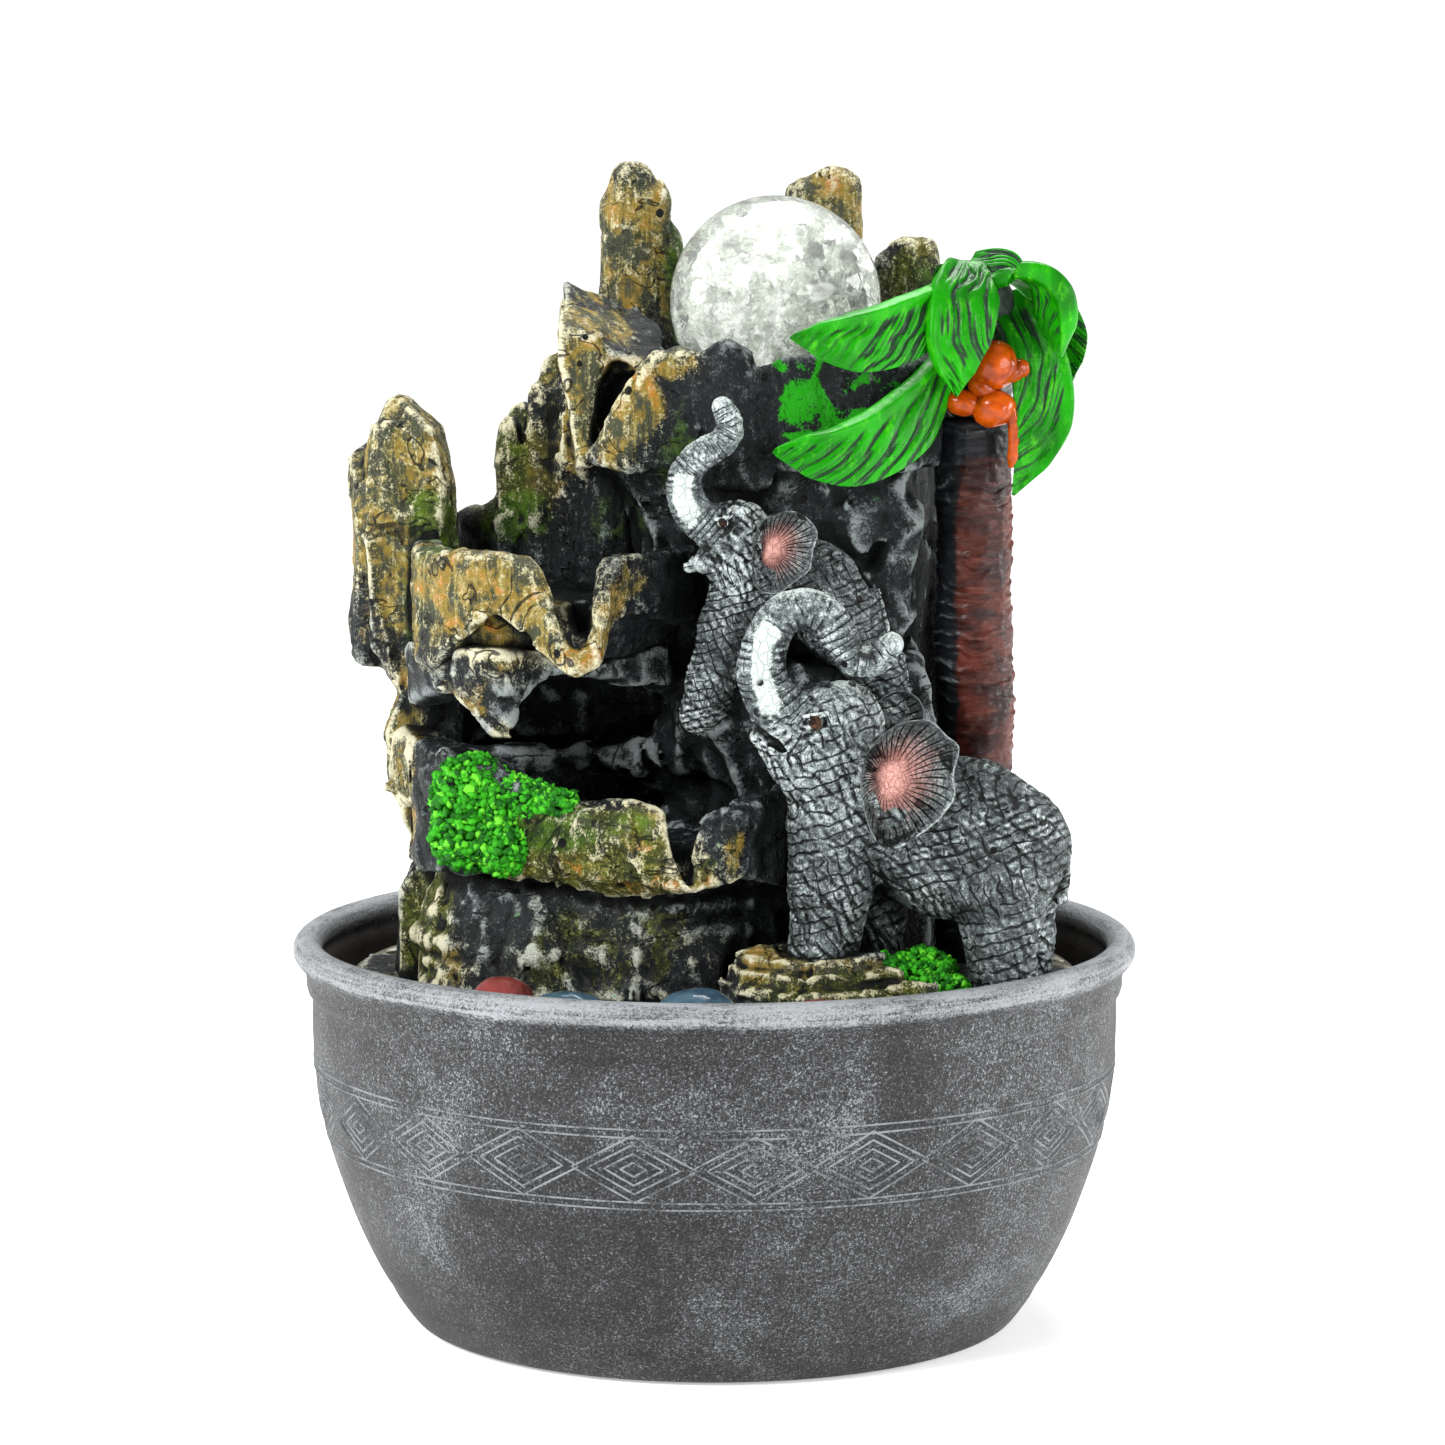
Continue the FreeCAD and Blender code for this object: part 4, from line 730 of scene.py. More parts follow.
def upper_clay():
    """The upper tray: a curtain wall round a pool, whose two front ridges fall to a pointed spout."""
    clay = Clay((-44, -32, 196), (60, 56, 250), 0.85 * STEP)
    outline = [(-30, 12), (-24, -8), (-12, -20), (10, -22), (40, -19), (50, 4), (49, 32), (18, 44),
        (-20, 42)]
    clay.add(stack([(204, outline), (213.5, outline)], 2), 2)
    right = [(-28.8, -18, 204.5, 208, 5), (-26.5, -19.5, 204, 211, 6), (-23.5, -21, 203.5, 216, 7),
        (-19.5, -22, 203, 224, 7.5), (-15, -22, 203, 230, 7.5), (-9, -22, 203, 231.2, 7.5),
        (-3.6, -22.5, 203, 229.5, 6)]
    clay.add(curtain(right, 2.5), 3)
    clay.add(curtain([(-2.6, -24.5, 200, 229.6, 5), (2, -25.5, 199, 233.8, 6.5),
        (7, -25, 199, 231.4, 6.5), (10.2, -24.2, 200, 225.6, 5)], 2), 2)
    clay.add(curtain([(12.6, -23.5, 204, 228, 5), (19, -25.5, 204, 230.4, 7),
        (26, -24, 204, 229.6, 5.5)], 2), 1.5)
    clay.add(curtain([(27.5, -23, 203, 228, 5.5), (36, -24, 203, 229, 7), (45, -20.5, 203, 229, 7),
        (50, -8, 203, 229, 7), (51.5, 6, 204, 229, 6), (49, 20, 204, 229, 6), (47.5, 35, 204, 229, 6),
        (34, 42, 204, 230, 6), (16, 45, 204, 230, 6), (-6, 44.5, 204, 230, 6), (-23, 42, 204, 231, 6),
        (-30, 28, 204, 232, 6), (-32.5, 14, 204, 236, 6)], 2), 2)
    # left ridge: a wedge that narrows to the spout, under a flat that slants to the right and to the front
    ridge = Clay((-44, -32, 196), (60, 56, 250), 0.85 * STEP)
    ridge.add(notch([(-36, 250), (-12, 250), (-13.5, 225.5), (-21, 225.5), (-24.6, 222), (-27.2, 213),
        (-28.6, 204), (-31.4, 204), (-33.6, 214), (-36, 228)], -18, -6), 1)
    ridge.add(notch([(-36, 250), (-12, 250), (-13, 204), (-35, 204)], -7, 12), 1)
    ridge.cut(beyond((-35, -18, 236.6), (0.47, -0.34, 1), (-50, -40, 190), (60, 60, 262)), 0.8)
    clay.field = soft_min(clay.field, ridge.field, 1.5)
    clay.add(curtain([(-34, 10, 204, 236, 6), (-34, 22, 204, 232, 6), (-28, 36, 204, 231, 6)], 2), 2)
    clay.cut(egg((-22, -15, 216), (5.4, 5, 12)), 2.5)
    clay.dress(stone(52, 0.7, 0.6, 0.7, 0, 0.25), 4)
    # the cup's bore, and the room that the ball turns in
    clay.cut(limb((*BALL_PLAN, 190), (*BALL_PLAN, 250), 19.8, 19.8), 1)
    clay.cut(limb(BALL_CENTRE, np.add(BALL_CENTRE, (0, 0, 0.1)), 25.9, 25.9), 1)
    return clay


def middle_clay():
    """The middle tray: a draped curtain with a hanging lobe, an arch, and a deep pointed spout."""
    clay = Clay((-74, -66, 154), (2, 14, 192), 0.75 * STEP)
    floor = [(-61, 4), (-58, -26), (-40, -38), (-28, -44), (-20, -38), (-8, -22), (-4, 4)]
    under = [(-58, 4), (-55, -22), (-40, -34), (-30, -38), (-22, -34), (-10, -20), (-6, 4)]
    clay.add(stack([(161, under), (173.5, floor)], 3), 2)
    clay.add(egg((-49, -34, 168), (10, 8, 8)), 3)
    wall = [(-66, 2, 166, 186, 6), (-66.5, -12, 163, 186, 6), (-66, -26, 160, 186, 7),
        (-61, -37, 160.5, 186, 7.5), (-54.5, -43.5, 168.5, 186.6, 7), (-49.5, -46, 173, 186.4, 6.5),
        (-44.5, -47, 170, 186, 6.5), (-40, -48.5, 166, 183.5, 6), (-36.5, -51, 163, 176, 5.6),
        (-33.6, -53.5, 160.8, 169, 5.4), (-31, -55, 159.8, 164.8, 5.6), (-28.6, -54, 161, 168.5, 5.4),
        (-27, -50, 164, 177, 5.2), (-25, -46, 169, 184.5, 5.4), (-21, -41, 172, 185.6, 6),
        (-14, -31, 170, 185.2, 6.5), (-7, -18, 168, 185, 7), (-4, -4, 168, 185, 7)]
    clay.add(curtain(wall, 2.4), 3)
    clay.cut(notch([(-36, 187), (-31.5, 166), (-28.8, 166), (-26, 187)], -60, -30), 1.5)
    clay.cut(egg((-31, -46, 172), (4, 9, 7)), 3)
    clay.dress(stone(73, 0.5, 0.6, 0.6, 0, 0.25), 4)
    return clay


def lower_clay():
    """The lower tray: a broad leaning lip of slanted facets, a narrow spout, and a folded ear to its
    right."""
    clay = Clay((-74, -74, 100), (26, 2, 146), 0.85 * STEP)
    floor = [(-62, -6), (-63, -24), (-50, -46), (-28, -55), (-8, -60), (4, -51), (14, -42), (16, -8)]
    under = [(-56, -6), (-56, -22), (-44, -40), (-26, -47), (-8, -50), (0, -44), (10, -38), (14, -8)]
    clay.add(stack([(107, under), (119.5, floor)], 4), 3)
    wall = [(-67, -8, 112, 140, 8), (-66, -24, 112, 141, 9), (-58, -39, 112, 140, 10),
        (-49, -48, 112, 138.6, 10), (-40, -53, 110, 134, 9.5), (-31, -57, 109, 131.8, 9.5),
        (-22, -59.5, 108, 131.6, 8.5), (-15.5, -62, 108.5, 131.2, 7), (-12.5, -64, 109.5, 126.0, 6),
        (-9.8, -65.5, 110, 120.0, 5.6), (-6.8, -66.5, 110.6, 114.6, 5.6), (-4.6, -66, 111.5, 115.0, 5.2),
        (-3.0, -64, 112, 129.5, 4.4), (1, -63, 112.5, 131.2, 5), (4.4, -60.5, 114, 131, 5),
        (9, -53, 113, 131, 5.5), (16, -46, 111, 131.4, 7), (22, -32, 111, 131, 7)]
    clay.add(curtain(wall, 2.2), 3)
    clay.cut(egg((-8, -52, 123), (5, 9, 6)), 2)
    # long slanted planes on the front of the lip
    for point, normal in (((-38, -60, 124), (-0.15, -1, 0.45)), ((-22, -63, 120), (-0.45, -1, -0.2)),
                          ((-28, -57, 112), (-0.35, -0.7, -0.9)), ((-52, -51, 118), (-0.6, -0.8, -0.1))):
        clay.cut(beyond(point, normal, (-72, -72, 102), (-4, -40, 144)), 1.2)
    clay.dress(stone(94, 0.15, 0.7, 1.2, 0.35, 0.25), 4)
    return clay


def pillar_clay():
    """The tall stone on the left: a flat-faced block with a chamfered top and a thin layered slab at its
    side."""
    clay = Clay((-94, -24, 80), (-50, 28, 226), 0.85 * STEP)
    levels = [
        (82, [(-74, -18), (-66, -19), (-60, -10), (-60, 10), (-70, 12), (-76, 0)]),
        (104, [(-73, -17), (-66, -18), (-61, -8), (-60, 8), (-68, 10), (-74, -2)]),
        (112, [(-68, -14), (-64, -15), (-60, -8), (-60, 8), (-64, 9), (-68, -2)]),
        (128, [(-76, -16), (-70, -17), (-60, -9), (-60, 8), (-68, 10), (-76, -2)]),
        (141, [(-77, -15), (-69, -16), (-60, -10), (-59, 8), (-68, 10), (-77, -2)]),
        (150, [(-73, -14), (-66, -15), (-60, -9), (-60, 9), (-68, 11), (-75, 0)]),
        (161, [(-80, -10), (-66, -14), (-61, -8), (-61, 11), (-70, 14), (-82, 4)]),
        (180, [(-80, -9), (-64, -12), (-60, -5), (-60, 11), (-70, 14), (-82, 5)]),
        (199, [(-81, -8), (-64, -11), (-61, -4), (-62, 10), (-70, 13), (-83, 5)]),
        (211.5, [(-79, -6), (-65.5, -9), (-63.5, -3), (-64, 7), (-70, 10), (-80.5, 5)]),
        (219.5, [(-77, -1), (-74.5, -2), (-73, 0), (-73, 4), (-75, 6), (-77.5, 4)]),
    ]
    clay.add(stack(levels, 1.5), 1)
    clay.add(curtain([(-81.5, -4, 156, 199, 5), (-83, 6, 158, 205, 5), (-80, 13, 160, 208, 6)], 1.2), 1)
    clay.dress(stone(115, 0.3, 0.7, 1.0, 0, 0.25), 4)
    return clay


def columns_clay():
    """Stepped upright flutes between the pillar and the spires, with pinched tops."""
    clay = Clay((-66, -12, 154), (-18, 34, 248), 0.85 * STEP)
    for x, y, radius, low, high in ((-58, 16, 6, 158, 192), (-52.5, 12, 5, 158, 193.5),
            (-48.6, 9, 4.6, 158, 214), (-46.2, 12, 4.4, 160, 217.5), (-41.6, 7, 4.0, 160, 222),
            (-38, 9, 5.0, 170, 228), (-33.8, 5, 4.0, 172, 234), (-33.4, 9, 4.8, 180, 242.5),
            (-29, 10, 5.5, 190, 238), (-44, 18, 8, 160, 212), (-34, 17, 8, 180, 228),
            (-26, 2, 7, 176, 205)):
        clay.add(limb((x, y, low), (x + 0.4, y, high - radius * 0.7), radius * 1.1, radius * 0.72), 1.8)
    clay.dress(stone(136, 0.6, 0.7, 0.8, 0, 0.25), 4)
    return clay


def spire_clay(low, high, bits, seed):
    """A fluted spire: tapering fingers side by side, each (x, y, foot z, tip z, foot radius, tip
    radius)."""
    clay = Clay(low, high, 0.8 * STEP)
    for x, y, foot, tip, wide, narrow, drift in bits:
        clay.add(limb((x, y, foot), (x + drift, y, tip - narrow), wide, narrow), 3)
    clay.dress(stone(seed, 0.55, 0.4, 0.9, 0, 0.22), 4)
    return clay


def slab_clay():
    """The flat stone under the adult elephant: low ledges with a chipped front edge."""
    clay = Clay((-4, -84, 80), (88, -6, 101), 0.8 * STEP)
    foot = [(4, -62), (20, -79), (44, -75), (64, -62), (82, -32), (72, -12), (22, -12), (16, -40)]
    top = [(6, -62), (21, -77.5), (44, -73.5), (62, -61), (79, -32), (70, -14), (22, -14), (16, -42)]
    clay.add(stack([(81.5, foot), (87, top)], 2), 1)
    for z, ring in (
        (91, [(2, -60), (8, -70), (22, -76), (34, -73), (50, -69), (44, -54), (26, -40), (10, -44)]),
        (94, [(3, -58), (6, -66), (16, -72.5), (30, -71), (42, -66.5), (40, -52), (26, -40), (12, -44)]),
        (96.6, [(5, -58), (8, -64), (17, -69), (31, -69.5), (38, -62), (36, -50), (26, -42), (14, -46)]),
    ):
        clay.add(stack([(84, ring), (z, ring)], 1.2), 0.8)
    clay.dress(stone(157, 0, 0.5, 1.3, 0.7, 0.25), 3)
    return clay


def deck_clay():
    """The stone floor in the bowl: a disc with low relief, pierced by its drains."""
    clay = Clay((-88, -88, 78), (88, 88, 85.5), 1.15 * STEP)
    ring = [(86.2 * math.cos(a), 86.2 * math.sin(a)) for a in np.linspace(0, TURN, 72, endpoint=False)]
    clay.add(stack([(79.2, ring), (82.4, ring)], 1), 1)
    clay.dress(lambda p: 0.7 * noise(p, 22, 5) + 0.7 * chips(p, (17, 17, 60), 171) + 0.2 * noise(p, 3, 6),
               2.5)
    clay.cut(Form((-90, -90, 70), (90, 90, 90), lambda p: 86.4 - np.hypot(p[..., 0], p[..., 1])), 0.5)
    for x, y in ((-72, -34), (-40, -70), (44, -67), (76, 26), (-76, 24)):
        clay.cut(limb((x, y, 70), (x, y, 95), 4.3, 4.3), 1)
    return clay


# ------------------------------------------------------------------ the elephants


def along(points, stations):
    """For each point, how far along a line of stations its nearest place is, in millimetres, and the
    distance off."""
    track = np.array(stations, np.float32)[:, :3]
    runs = np.linalg.norm(np.diff(track, axis=0), axis=1)
    before = np.append(0, np.cumsum(runs))
    best = np.full(len(points), 1e9, np.float32)
    place = np.zeros(len(points), np.float32)
    for i, run in enumerate(runs):
        line = track[i + 1] - track[i]
        share = held((points - track[i]) @ line / run**2)
        gap = np.linalg.norm(points - track[i] - share[:, None] * line, axis=1)
        place = np.where(gap < best, before[i] + share * run, place)
        best = np.minimum(gap, best)
    return place, best


def groove(phase, width=0.16):
    """A narrow groove at each whole number of a phase: one in its middle, falling to nought at its
    width."""
    off = np.abs(phase - np.round(phase))
    return held(1 - off / width)


def hide(seed, trunk, body, tight=1.0):
    """Skin relief: rings round the trunk, and two families of crossing wrinkles on the body, which bend and
    break with noise and fade from place to place."""

    def relief(p):
        place, off = along(p, trunk)
        bend = 0.45 * noise(p, 9, seed) + 0.25 * noise(p, 4, seed + 1)
        rings = groove(place / (1.75 * tight) + 0.9 * bend, 0.2) * held(2.2 - off / 4.5)
        rings *= held(0.6 + 0.9 * noise(p, (4, 4, 4), seed + 8))
        around = p - np.array(body, np.float32)
        side = around[:, 0] + 0.35 * around[:, 2]
        drop = around[:, 2] - 0.3 * around[:, 0]
        upright = groove(side / (2.3 * tight) + 0.9 * bend, 0.2)
        upright *= held(3 * noise(p, (3, 3, 8), seed + 2) + 1)
        level = groove(drop / (1.9 * tight) + 0.8 * bend, 0.2)
        level *= held(3 * noise(p, (8, 3, 3), seed + 3) + 1)
        long_fold = groove((side + 0.6 * drop) / (5.1 * tight) + 0.9 * bend, 0.12)
        fade = held(0.8 + 0.7 * noise(p, 12, seed + 4)) * held(off / 4 - 1.1)
        share = np.clip(0.5 + 2.5 * noise(p, 15, seed + 9), 0.1, 0.9)
        crossing = np.maximum(np.maximum(upright * share, level * (1 - share)), 0.8 * long_fold)
        total = -0.4 * rings - 0.75 * crossing * fade + 0.5 * noise(p, 8, seed + 5)
        return total + 0.2 * noise(p, 2.5, seed + 6) + 0.1 * noise(p, 1.2, seed + 7)

    return relief


ADULT_TRUNK = [(21, -57, 146.5, 8.5), (16, -57.5, 150.5, 6.9), (12.6, -58, 155.5, 6.0),
    (10.8, -58, 161.5, 5.5), (11.6, -58, 168, 5.0), (15.2, -58, 173.4, 4.5), (20.6, -58, 175.3, 4.2),
    (25.6, -58, 172.8, 4.1), (28.6, -58, 167.6, 4.0), (31.6, -58.5, 163.4, 3.6), (35.8, -59, 163.5, 3.3),
    (39.6, -59.5, 167, 2.7)]
CALF_TRUNK = [(1, -36, 190, 5.2), (-4.2, -36.5, 194, 4.4), (-6.8, -37, 199, 4.0), (-6.4, -37, 204, 3.7),
    (-3, -37, 208, 3.5), (1.6, -37, 210.6, 3.2), (3.8, -37, 214.6, 2.9), (1.8, -37, 219, 2.5)]


def adult_clay():
    """The adult: a round body on four legs, a domed head with an open mouth, and a trunk that curls
    over."""
    clay = Clay((0, -80, 80), (90, -22, 184), 0.52 * STEP)
    limbs(clay, [tuple(s) for s in smooth(ADULT_TRUNK, 3)], 0.6)
    clay.add(egg((28.5, -55, 146), (9.8, 9.4, 12.2), 14, 1), 3)
    clay.add(egg((22, -56, 142), (9, 8.6, 10), 0, 1), 3)
    clay.add(limb((19, -57, 138.5), (9.4, -58, 145.8), 6.0, 1.7), 2.5)
    clay.add(egg((27, -58.5, 152), (7, 6, 5.5)), 4)
    limbs(clay, [(26, -55, 139, 11), (36, -52, 130, 14.5), (46, -50, 125, 16.5), (58, -50, 122.5, 17.2),
        (67, -50, 119.5, 14.5)], 3)
    clay.add(egg((57, -52, 118), (20, 16, 15), 0, 1), 4)
    clay.add(egg((66, -53, 121), (11.5, 13.5, 14)), 3)
    limbs(clay, [(27.5, -56, 126, 11), (26.5, -58, 112, 9.2), (25.4, -58, 102, 7.6),
        (24.6, -58, 94.6, 8.2)], 3)
    limbs(clay, [(66, -57, 114, 11.5), (64.6, -58, 103, 8.8), (65.4, -58, 94, 7.3),
        (65.6, -58, 86.6, 7.6)], 3)
    limbs(clay, [(36, -42, 118, 9.5), (36, -42, 104, 7.6), (35.6, -43, 92, 7.4)], 3)
    limbs(clay, [(70, -42, 112, 9.5), (71, -41, 98, 7.2), (71, -41, 89, 7.0)], 3)
    limbs(clay, [(75, -52, 128, 2.2), (79, -53, 121, 1.8), (79.6, -54, 114, 1.5), (78.4, -55, 109, 2.0)], 1)
    for x, z in ((18.6, 93), (22.6, 92), (27.2, 92), (31, 93)):
        clay.add(egg((x, -65.0 + abs(x - 25) * 0.25, z), (1.9, 1.4, 2.0)), 0.8)
    for x, z in ((60, 85.4), (64, 84.6), (68.4, 84.8)):
        clay.add(egg((x, -64.6 + abs(x - 65) * 0.25, z), (1.8, 1.4, 1.9)), 0.8)
    clay.cut(limb((6, -60, 149.6), (15.5, -61, 144.2), 0.9, 1.1), 1.2)
    clay.dress(hide(210, ADULT_TRUNK, (57, -50, 120)), 2.2)
    # the eye: a socket with a lid above and below, and the ball in it
    clay.cut(egg((22.6, -65.2, 150.4), (2.7, 1.9, 1.9), 12, 1), 0.8)
    clay.add(egg((22.6, -64.4, 150.3), (1.9, 1.5, 1.5)), 0.3)
    clay.add(limb((20.2, -65.4, 151.6), (24.9, -65.2, 152.1), 0.6, 0.6), 0.6)
    clay.add(limb((20.6, -65.3, 149.2), (24.6, -65.1, 148.7), 0.5, 0.5), 0.6)
    clay.cut(Form((0, -90, 60), (90, -20, 83.6), lambda p: p[..., 2] - 83.6), 0.5)
    return clay


def calf_clay():
    """The calf: it climbs the boulder with its trunk raised in a double bend."""
    clay = Clay((-14, -50, 138), (56, -12, 226), 0.5 * STEP)
    limbs(clay, [tuple(s) for s in smooth(CALF_TRUNK, 3)], 0.6)
    clay.add(egg((5.4, -35, 189.5), (8.2, 7.4, 8.2), 20, 1), 2.5)
    clay.add(limb((2, -36, 184.5), (-5.8, -37, 182.4), 5, 1.6), 2)
    clay.add(egg((5.5, -40, 195), (3.2, 2.4, 2.4)), 1.5)
    limbs(clay, [(8, -33, 184, 8.5), (16, -29, 179, 10), (23, -27, 176, 10.8), (28.5, -26, 170, 10)], 3)
    limbs(clay, [(7, -36, 178, 8), (2.6, -38, 168, 6.2), (-0.6, -38.5, 158, 5.4), (-2.4, -39, 149, 6.0)], 3)
    limbs(clay, [(12, -30, 172, 7), (11, -29, 162, 5.6)], 3)
    limbs(clay, [(30.5, -28, 166, 8), (37, -30, 159, 6), (41, -31, 150.5, 5.4)], 3)
    clay.add(limb((37, -24, 175), (39.5, -25, 167), 1.6, 1.3), 1)
    clay.cut(limb((-8, -40, 187), (0, -41, 184.6), 0.6, 0.8), 1)
    clay.dress(hide(230, CALF_TRUNK, (26, -26, 176), 0.8), 2.0)
    clay.cut(egg((1.9, -42.6, 193), (2.0, 1.5, 1.4), 15, 1), 0.6)
    clay.add(egg((1.9, -42.0, 192.9), (1.4, 1.2, 1.1)), 0.3)
    clay.add(limb((0.2, -42.6, 193.8), (3.7, -42.3, 194.3), 0.45, 0.45), 0.5)
    return clay


def ear_surface(outline, root, y, depth, thick, seed, fold=0.0):
    """An ear: rays from its root run out to a smooth outline. Its face dips in the middle and flares at the
    rim, with grooves along the rays, and a second layer behind closes it. The fold turns the top of the rim
    forward."""
    ring = smooth([(x, z) for x, z in outline] + [outline[0]], 24)[:-1]
    steps = np.concatenate([np.linspace(0, 1, 34), np.linspace(1, 0, 14)[1:]])[:, None]
    front = np.arange(len(steps))[:, None] < 34
    ring_x, ring_z = ring[None, :, 0], ring[None, :, 1]
    x = root[0] + steps * (ring_x - root[0])
    z = root[1] + steps * (ring_z - root[1])
    points = np.stack([x, np.full_like(x, y), z], -1).reshape(-1, 3).astype(np.float32)
    turn = np.arctan2(ring_z - root[1], ring_x - root[0])
    dip = depth * np.sin(np.pi * held(steps) ** 1.4) - 0.8 * depth * steps**6
    top = held((ring_z - root[1]) / np.ptp(ring_z) * 2.2 - 0.55)
    curl = fold * top * held(steps * 2.4 - 1.5) ** 2
    wave = 0.9 * np.sin(turn * 7 + seed) * steps**3
    rays_in = groove(turn * 7.2 + 0.5 * noise(points, 7, seed).reshape(x.shape), 0.2)
    rays_in *= held(steps * 3 - 0.5) * held(6 - steps * 6)
    rough = (0.25 * noise(points, 2.2, seed + 2) + 0.3 * noise(points, 5, seed + 3)).reshape(x.shape)
    depth_y = y + dip - curl + wave + (rough + 0.55 * rays_in) * front
    body = thick * np.sqrt(held(1 - steps**8))
    depth_y = np.where(front, depth_y, depth_y + body)
    z = z - 0.35 * curl
    verts = np.stack([x, depth_y, z], -1).reshape(-1, 3)
    pink = held(1.25 - 1.25 * steps) * front * np.ones_like(x)
    marks = {"pink": pink.ravel(), "hollow": (rays_in * front).ravel()}
    return verts, grid_faces(len(steps), len(ring)), marks


# ------------------------------------------------------------------ surfaces on a grid


def grid_faces(rows, columns, wrap_rows=False, wrap_columns=True):
    """The four-sided faces of a grid of points, closed round its rows or its columns."""
    grid = np.arange(rows * columns).reshape(rows, columns)
    if wrap_rows:
        grid = np.concatenate([grid, grid[:1]])
    if wrap_columns:
        grid = np.concatenate([grid, grid[:, :1]], 1)
    return np.stack([grid[:-1, :-1], grid[:-1, 1:], grid[1:, 1:], grid[1:, :-1]], -1).reshape(-1, 4)


def turned(profile, angles):
    """A surface of revolution: each (radius, height) of the profile carried round the upright axis."""
    profile = np.array(profile, float)
    x = profile[:, :1] * np.sin(angles)
    y = -profile[:, :1] * np.cos(angles)
    z = profile[:, 1:] + 0 * angles
    return np.stack([x, y, z], -1).reshape(-1, 3), grid_faces(len(profile), len(angles))


def arc(centre, radius, start, end, count):
    """Points on part of a circle, in degrees."""
    turn = np.radians(np.linspace(start, end, count))
    return [(centre[0] + radius * math.cos(t), centre[1] + radius * math.sin(t)) for t in turn]


# the bowl's side as (height, radius), then its incised band: its radius, its middle's height and its rhombi
BOWL_SIDE = [(0, 69.4), (0.8, 72), (6.1, 76), (9.2, 77.7), (13.8, 80.5), (23.2, 85), (32.5, 88.5),
    (42.1, 91.6), (51.7, 93.8), (61.2, 95.1), (70, 95.5), (75.5, 95.5)]
BAND_RADIUS = 94.0
BAND_HEIGHT = 54.1
BAND_PLACES = 22


def bowl_radius(z):
    """The radius of the bowl's side at a height."""
    return np.interp(z, *np.array(BOWL_SIDE).T)


def bowl_surface():
    """The bowl: a profile up the side, over a step and a rolled rim and down the inside, carried round the
    axis. At the back, points above the lead's notch are brought down to its foot."""
    side = smooth([(r, z) for z, r in BOWL_SIDE], 5)
    side[:, 1] = np.maximum(side[:, 1], 0.0)
    lip = [(95.5, 77.6), (95.9, 78.6), (96.5, 79.2), (96.8, 80.2), (96.9, 82), (97.1, 84.2)]
    roll = arc((96.55, 88.75), 3.42, -50, 226, 18)
    inside = [(93.9, 85.4), (93.1, 84.2), (92.9, 82), (92.9, 76)]
    wall = [(float(bowl_radius(z)) - 2.6, z) for z in (70, 62, 52, 42, 33, 24, 14, 9)]
    profile = [(1e-3, 0)] + [(40, 0), (66, 0)] + [tuple(p) for p in side] + lip + roll + inside + wall
    profile += [(74.5, 6.5), (71, 4), (68, 3.05), (40, 3), (1e-3, 3)]
    edge = math.asin(3.5 / 97)
    angles = np.linspace(0, TURN, 300, endpoint=False)
    near = np.abs(angles - math.pi) < edge + 0.01
    cuts = math.pi + np.array([-edge - 0.006, -edge, -edge / 3, edge / 3, edge, edge + 0.006])
    angles = np.sort(np.append(angles[~near], cuts))
    verts, faces = turned(profile, angles)
    gap = (np.abs(verts[:, 0]) < 3.55) & (verts[:, 1] > 80) & (verts[:, 2] > 85.2)
    verts[gap, 2] = 85.2
    radius = np.hypot(verts[:, 0], verts[:, 1])
    inner = (radius < bowl_radius(verts[:, 2]) - 1.5) & (verts[:, 2] > 2) & (verts[:, 2] < 86.5)
    rim = held((verts[:, 2] - 84) / 4) * ~inner
    return verts, faces, {"inner": inner * 1.0, "edge": rim}


def strips(lines, closed, width, height):
    """Raised lines on the bowl's side: each line's (distance round, height) points are widened across its
    direction to a rounded strip that stands proud of the side, and laid on it."""
    lines = np.array(lines, float)
    ahead = np.roll(lines, -1, 1) if closed else np.gradient(lines, axis=1) + lines
    back = np.roll(lines, 1, 1) if closed else lines - np.gradient(lines, axis=1)
    step = ahead - back
    across = unit(np.stack([-step[..., 1], step[..., 0]], -1))
    shape = np.array([(-0.62, -0.5), (-0.42, 0.55), (0, 1), (0.42, 0.55), (0.62, -0.5)])
    flat = lines[:, :, None] + across[:, :, None] * shape[:, :1] * width
    radius = bowl_radius(flat[..., 1]) + height * shape[:, 1] + 0 * flat[..., 0]
    turn = flat[..., 0] / BAND_RADIUS
    verts = np.stack([radius * np.sin(turn), -radius * np.cos(turn), flat[..., 1]], -1)
    count, length, wide = verts.shape[:3]
    one = grid_faces(length, wide, closed, True)
    faces = (one[None] + (np.arange(count) * length * wide)[:, None, None]).reshape(-1, 4)
    return verts.reshape(-1, 3), faces


def rhombus_lines():
    """The band's pattern: in each of its places four rhombi, one inside the other."""
    lines = []
    t = np.arange(48) / 48
    saw = 1 - 4 * np.abs((t + 0.25) % 1 - 0.5)
    lift = 1 - 4 * np.abs(t % 1 - 0.5)
    for n in range(BAND_PLACES):
        middle = (n + 0.33) * TURN / BAND_PLACES * BAND_RADIUS
        for share in (1.06, 0.78, 0.5, 0.22):
            lines.append(np.stack([middle + 13.4 * share * lift, BAND_HEIGHT + 7.4 * share * saw], -1))
    return lines


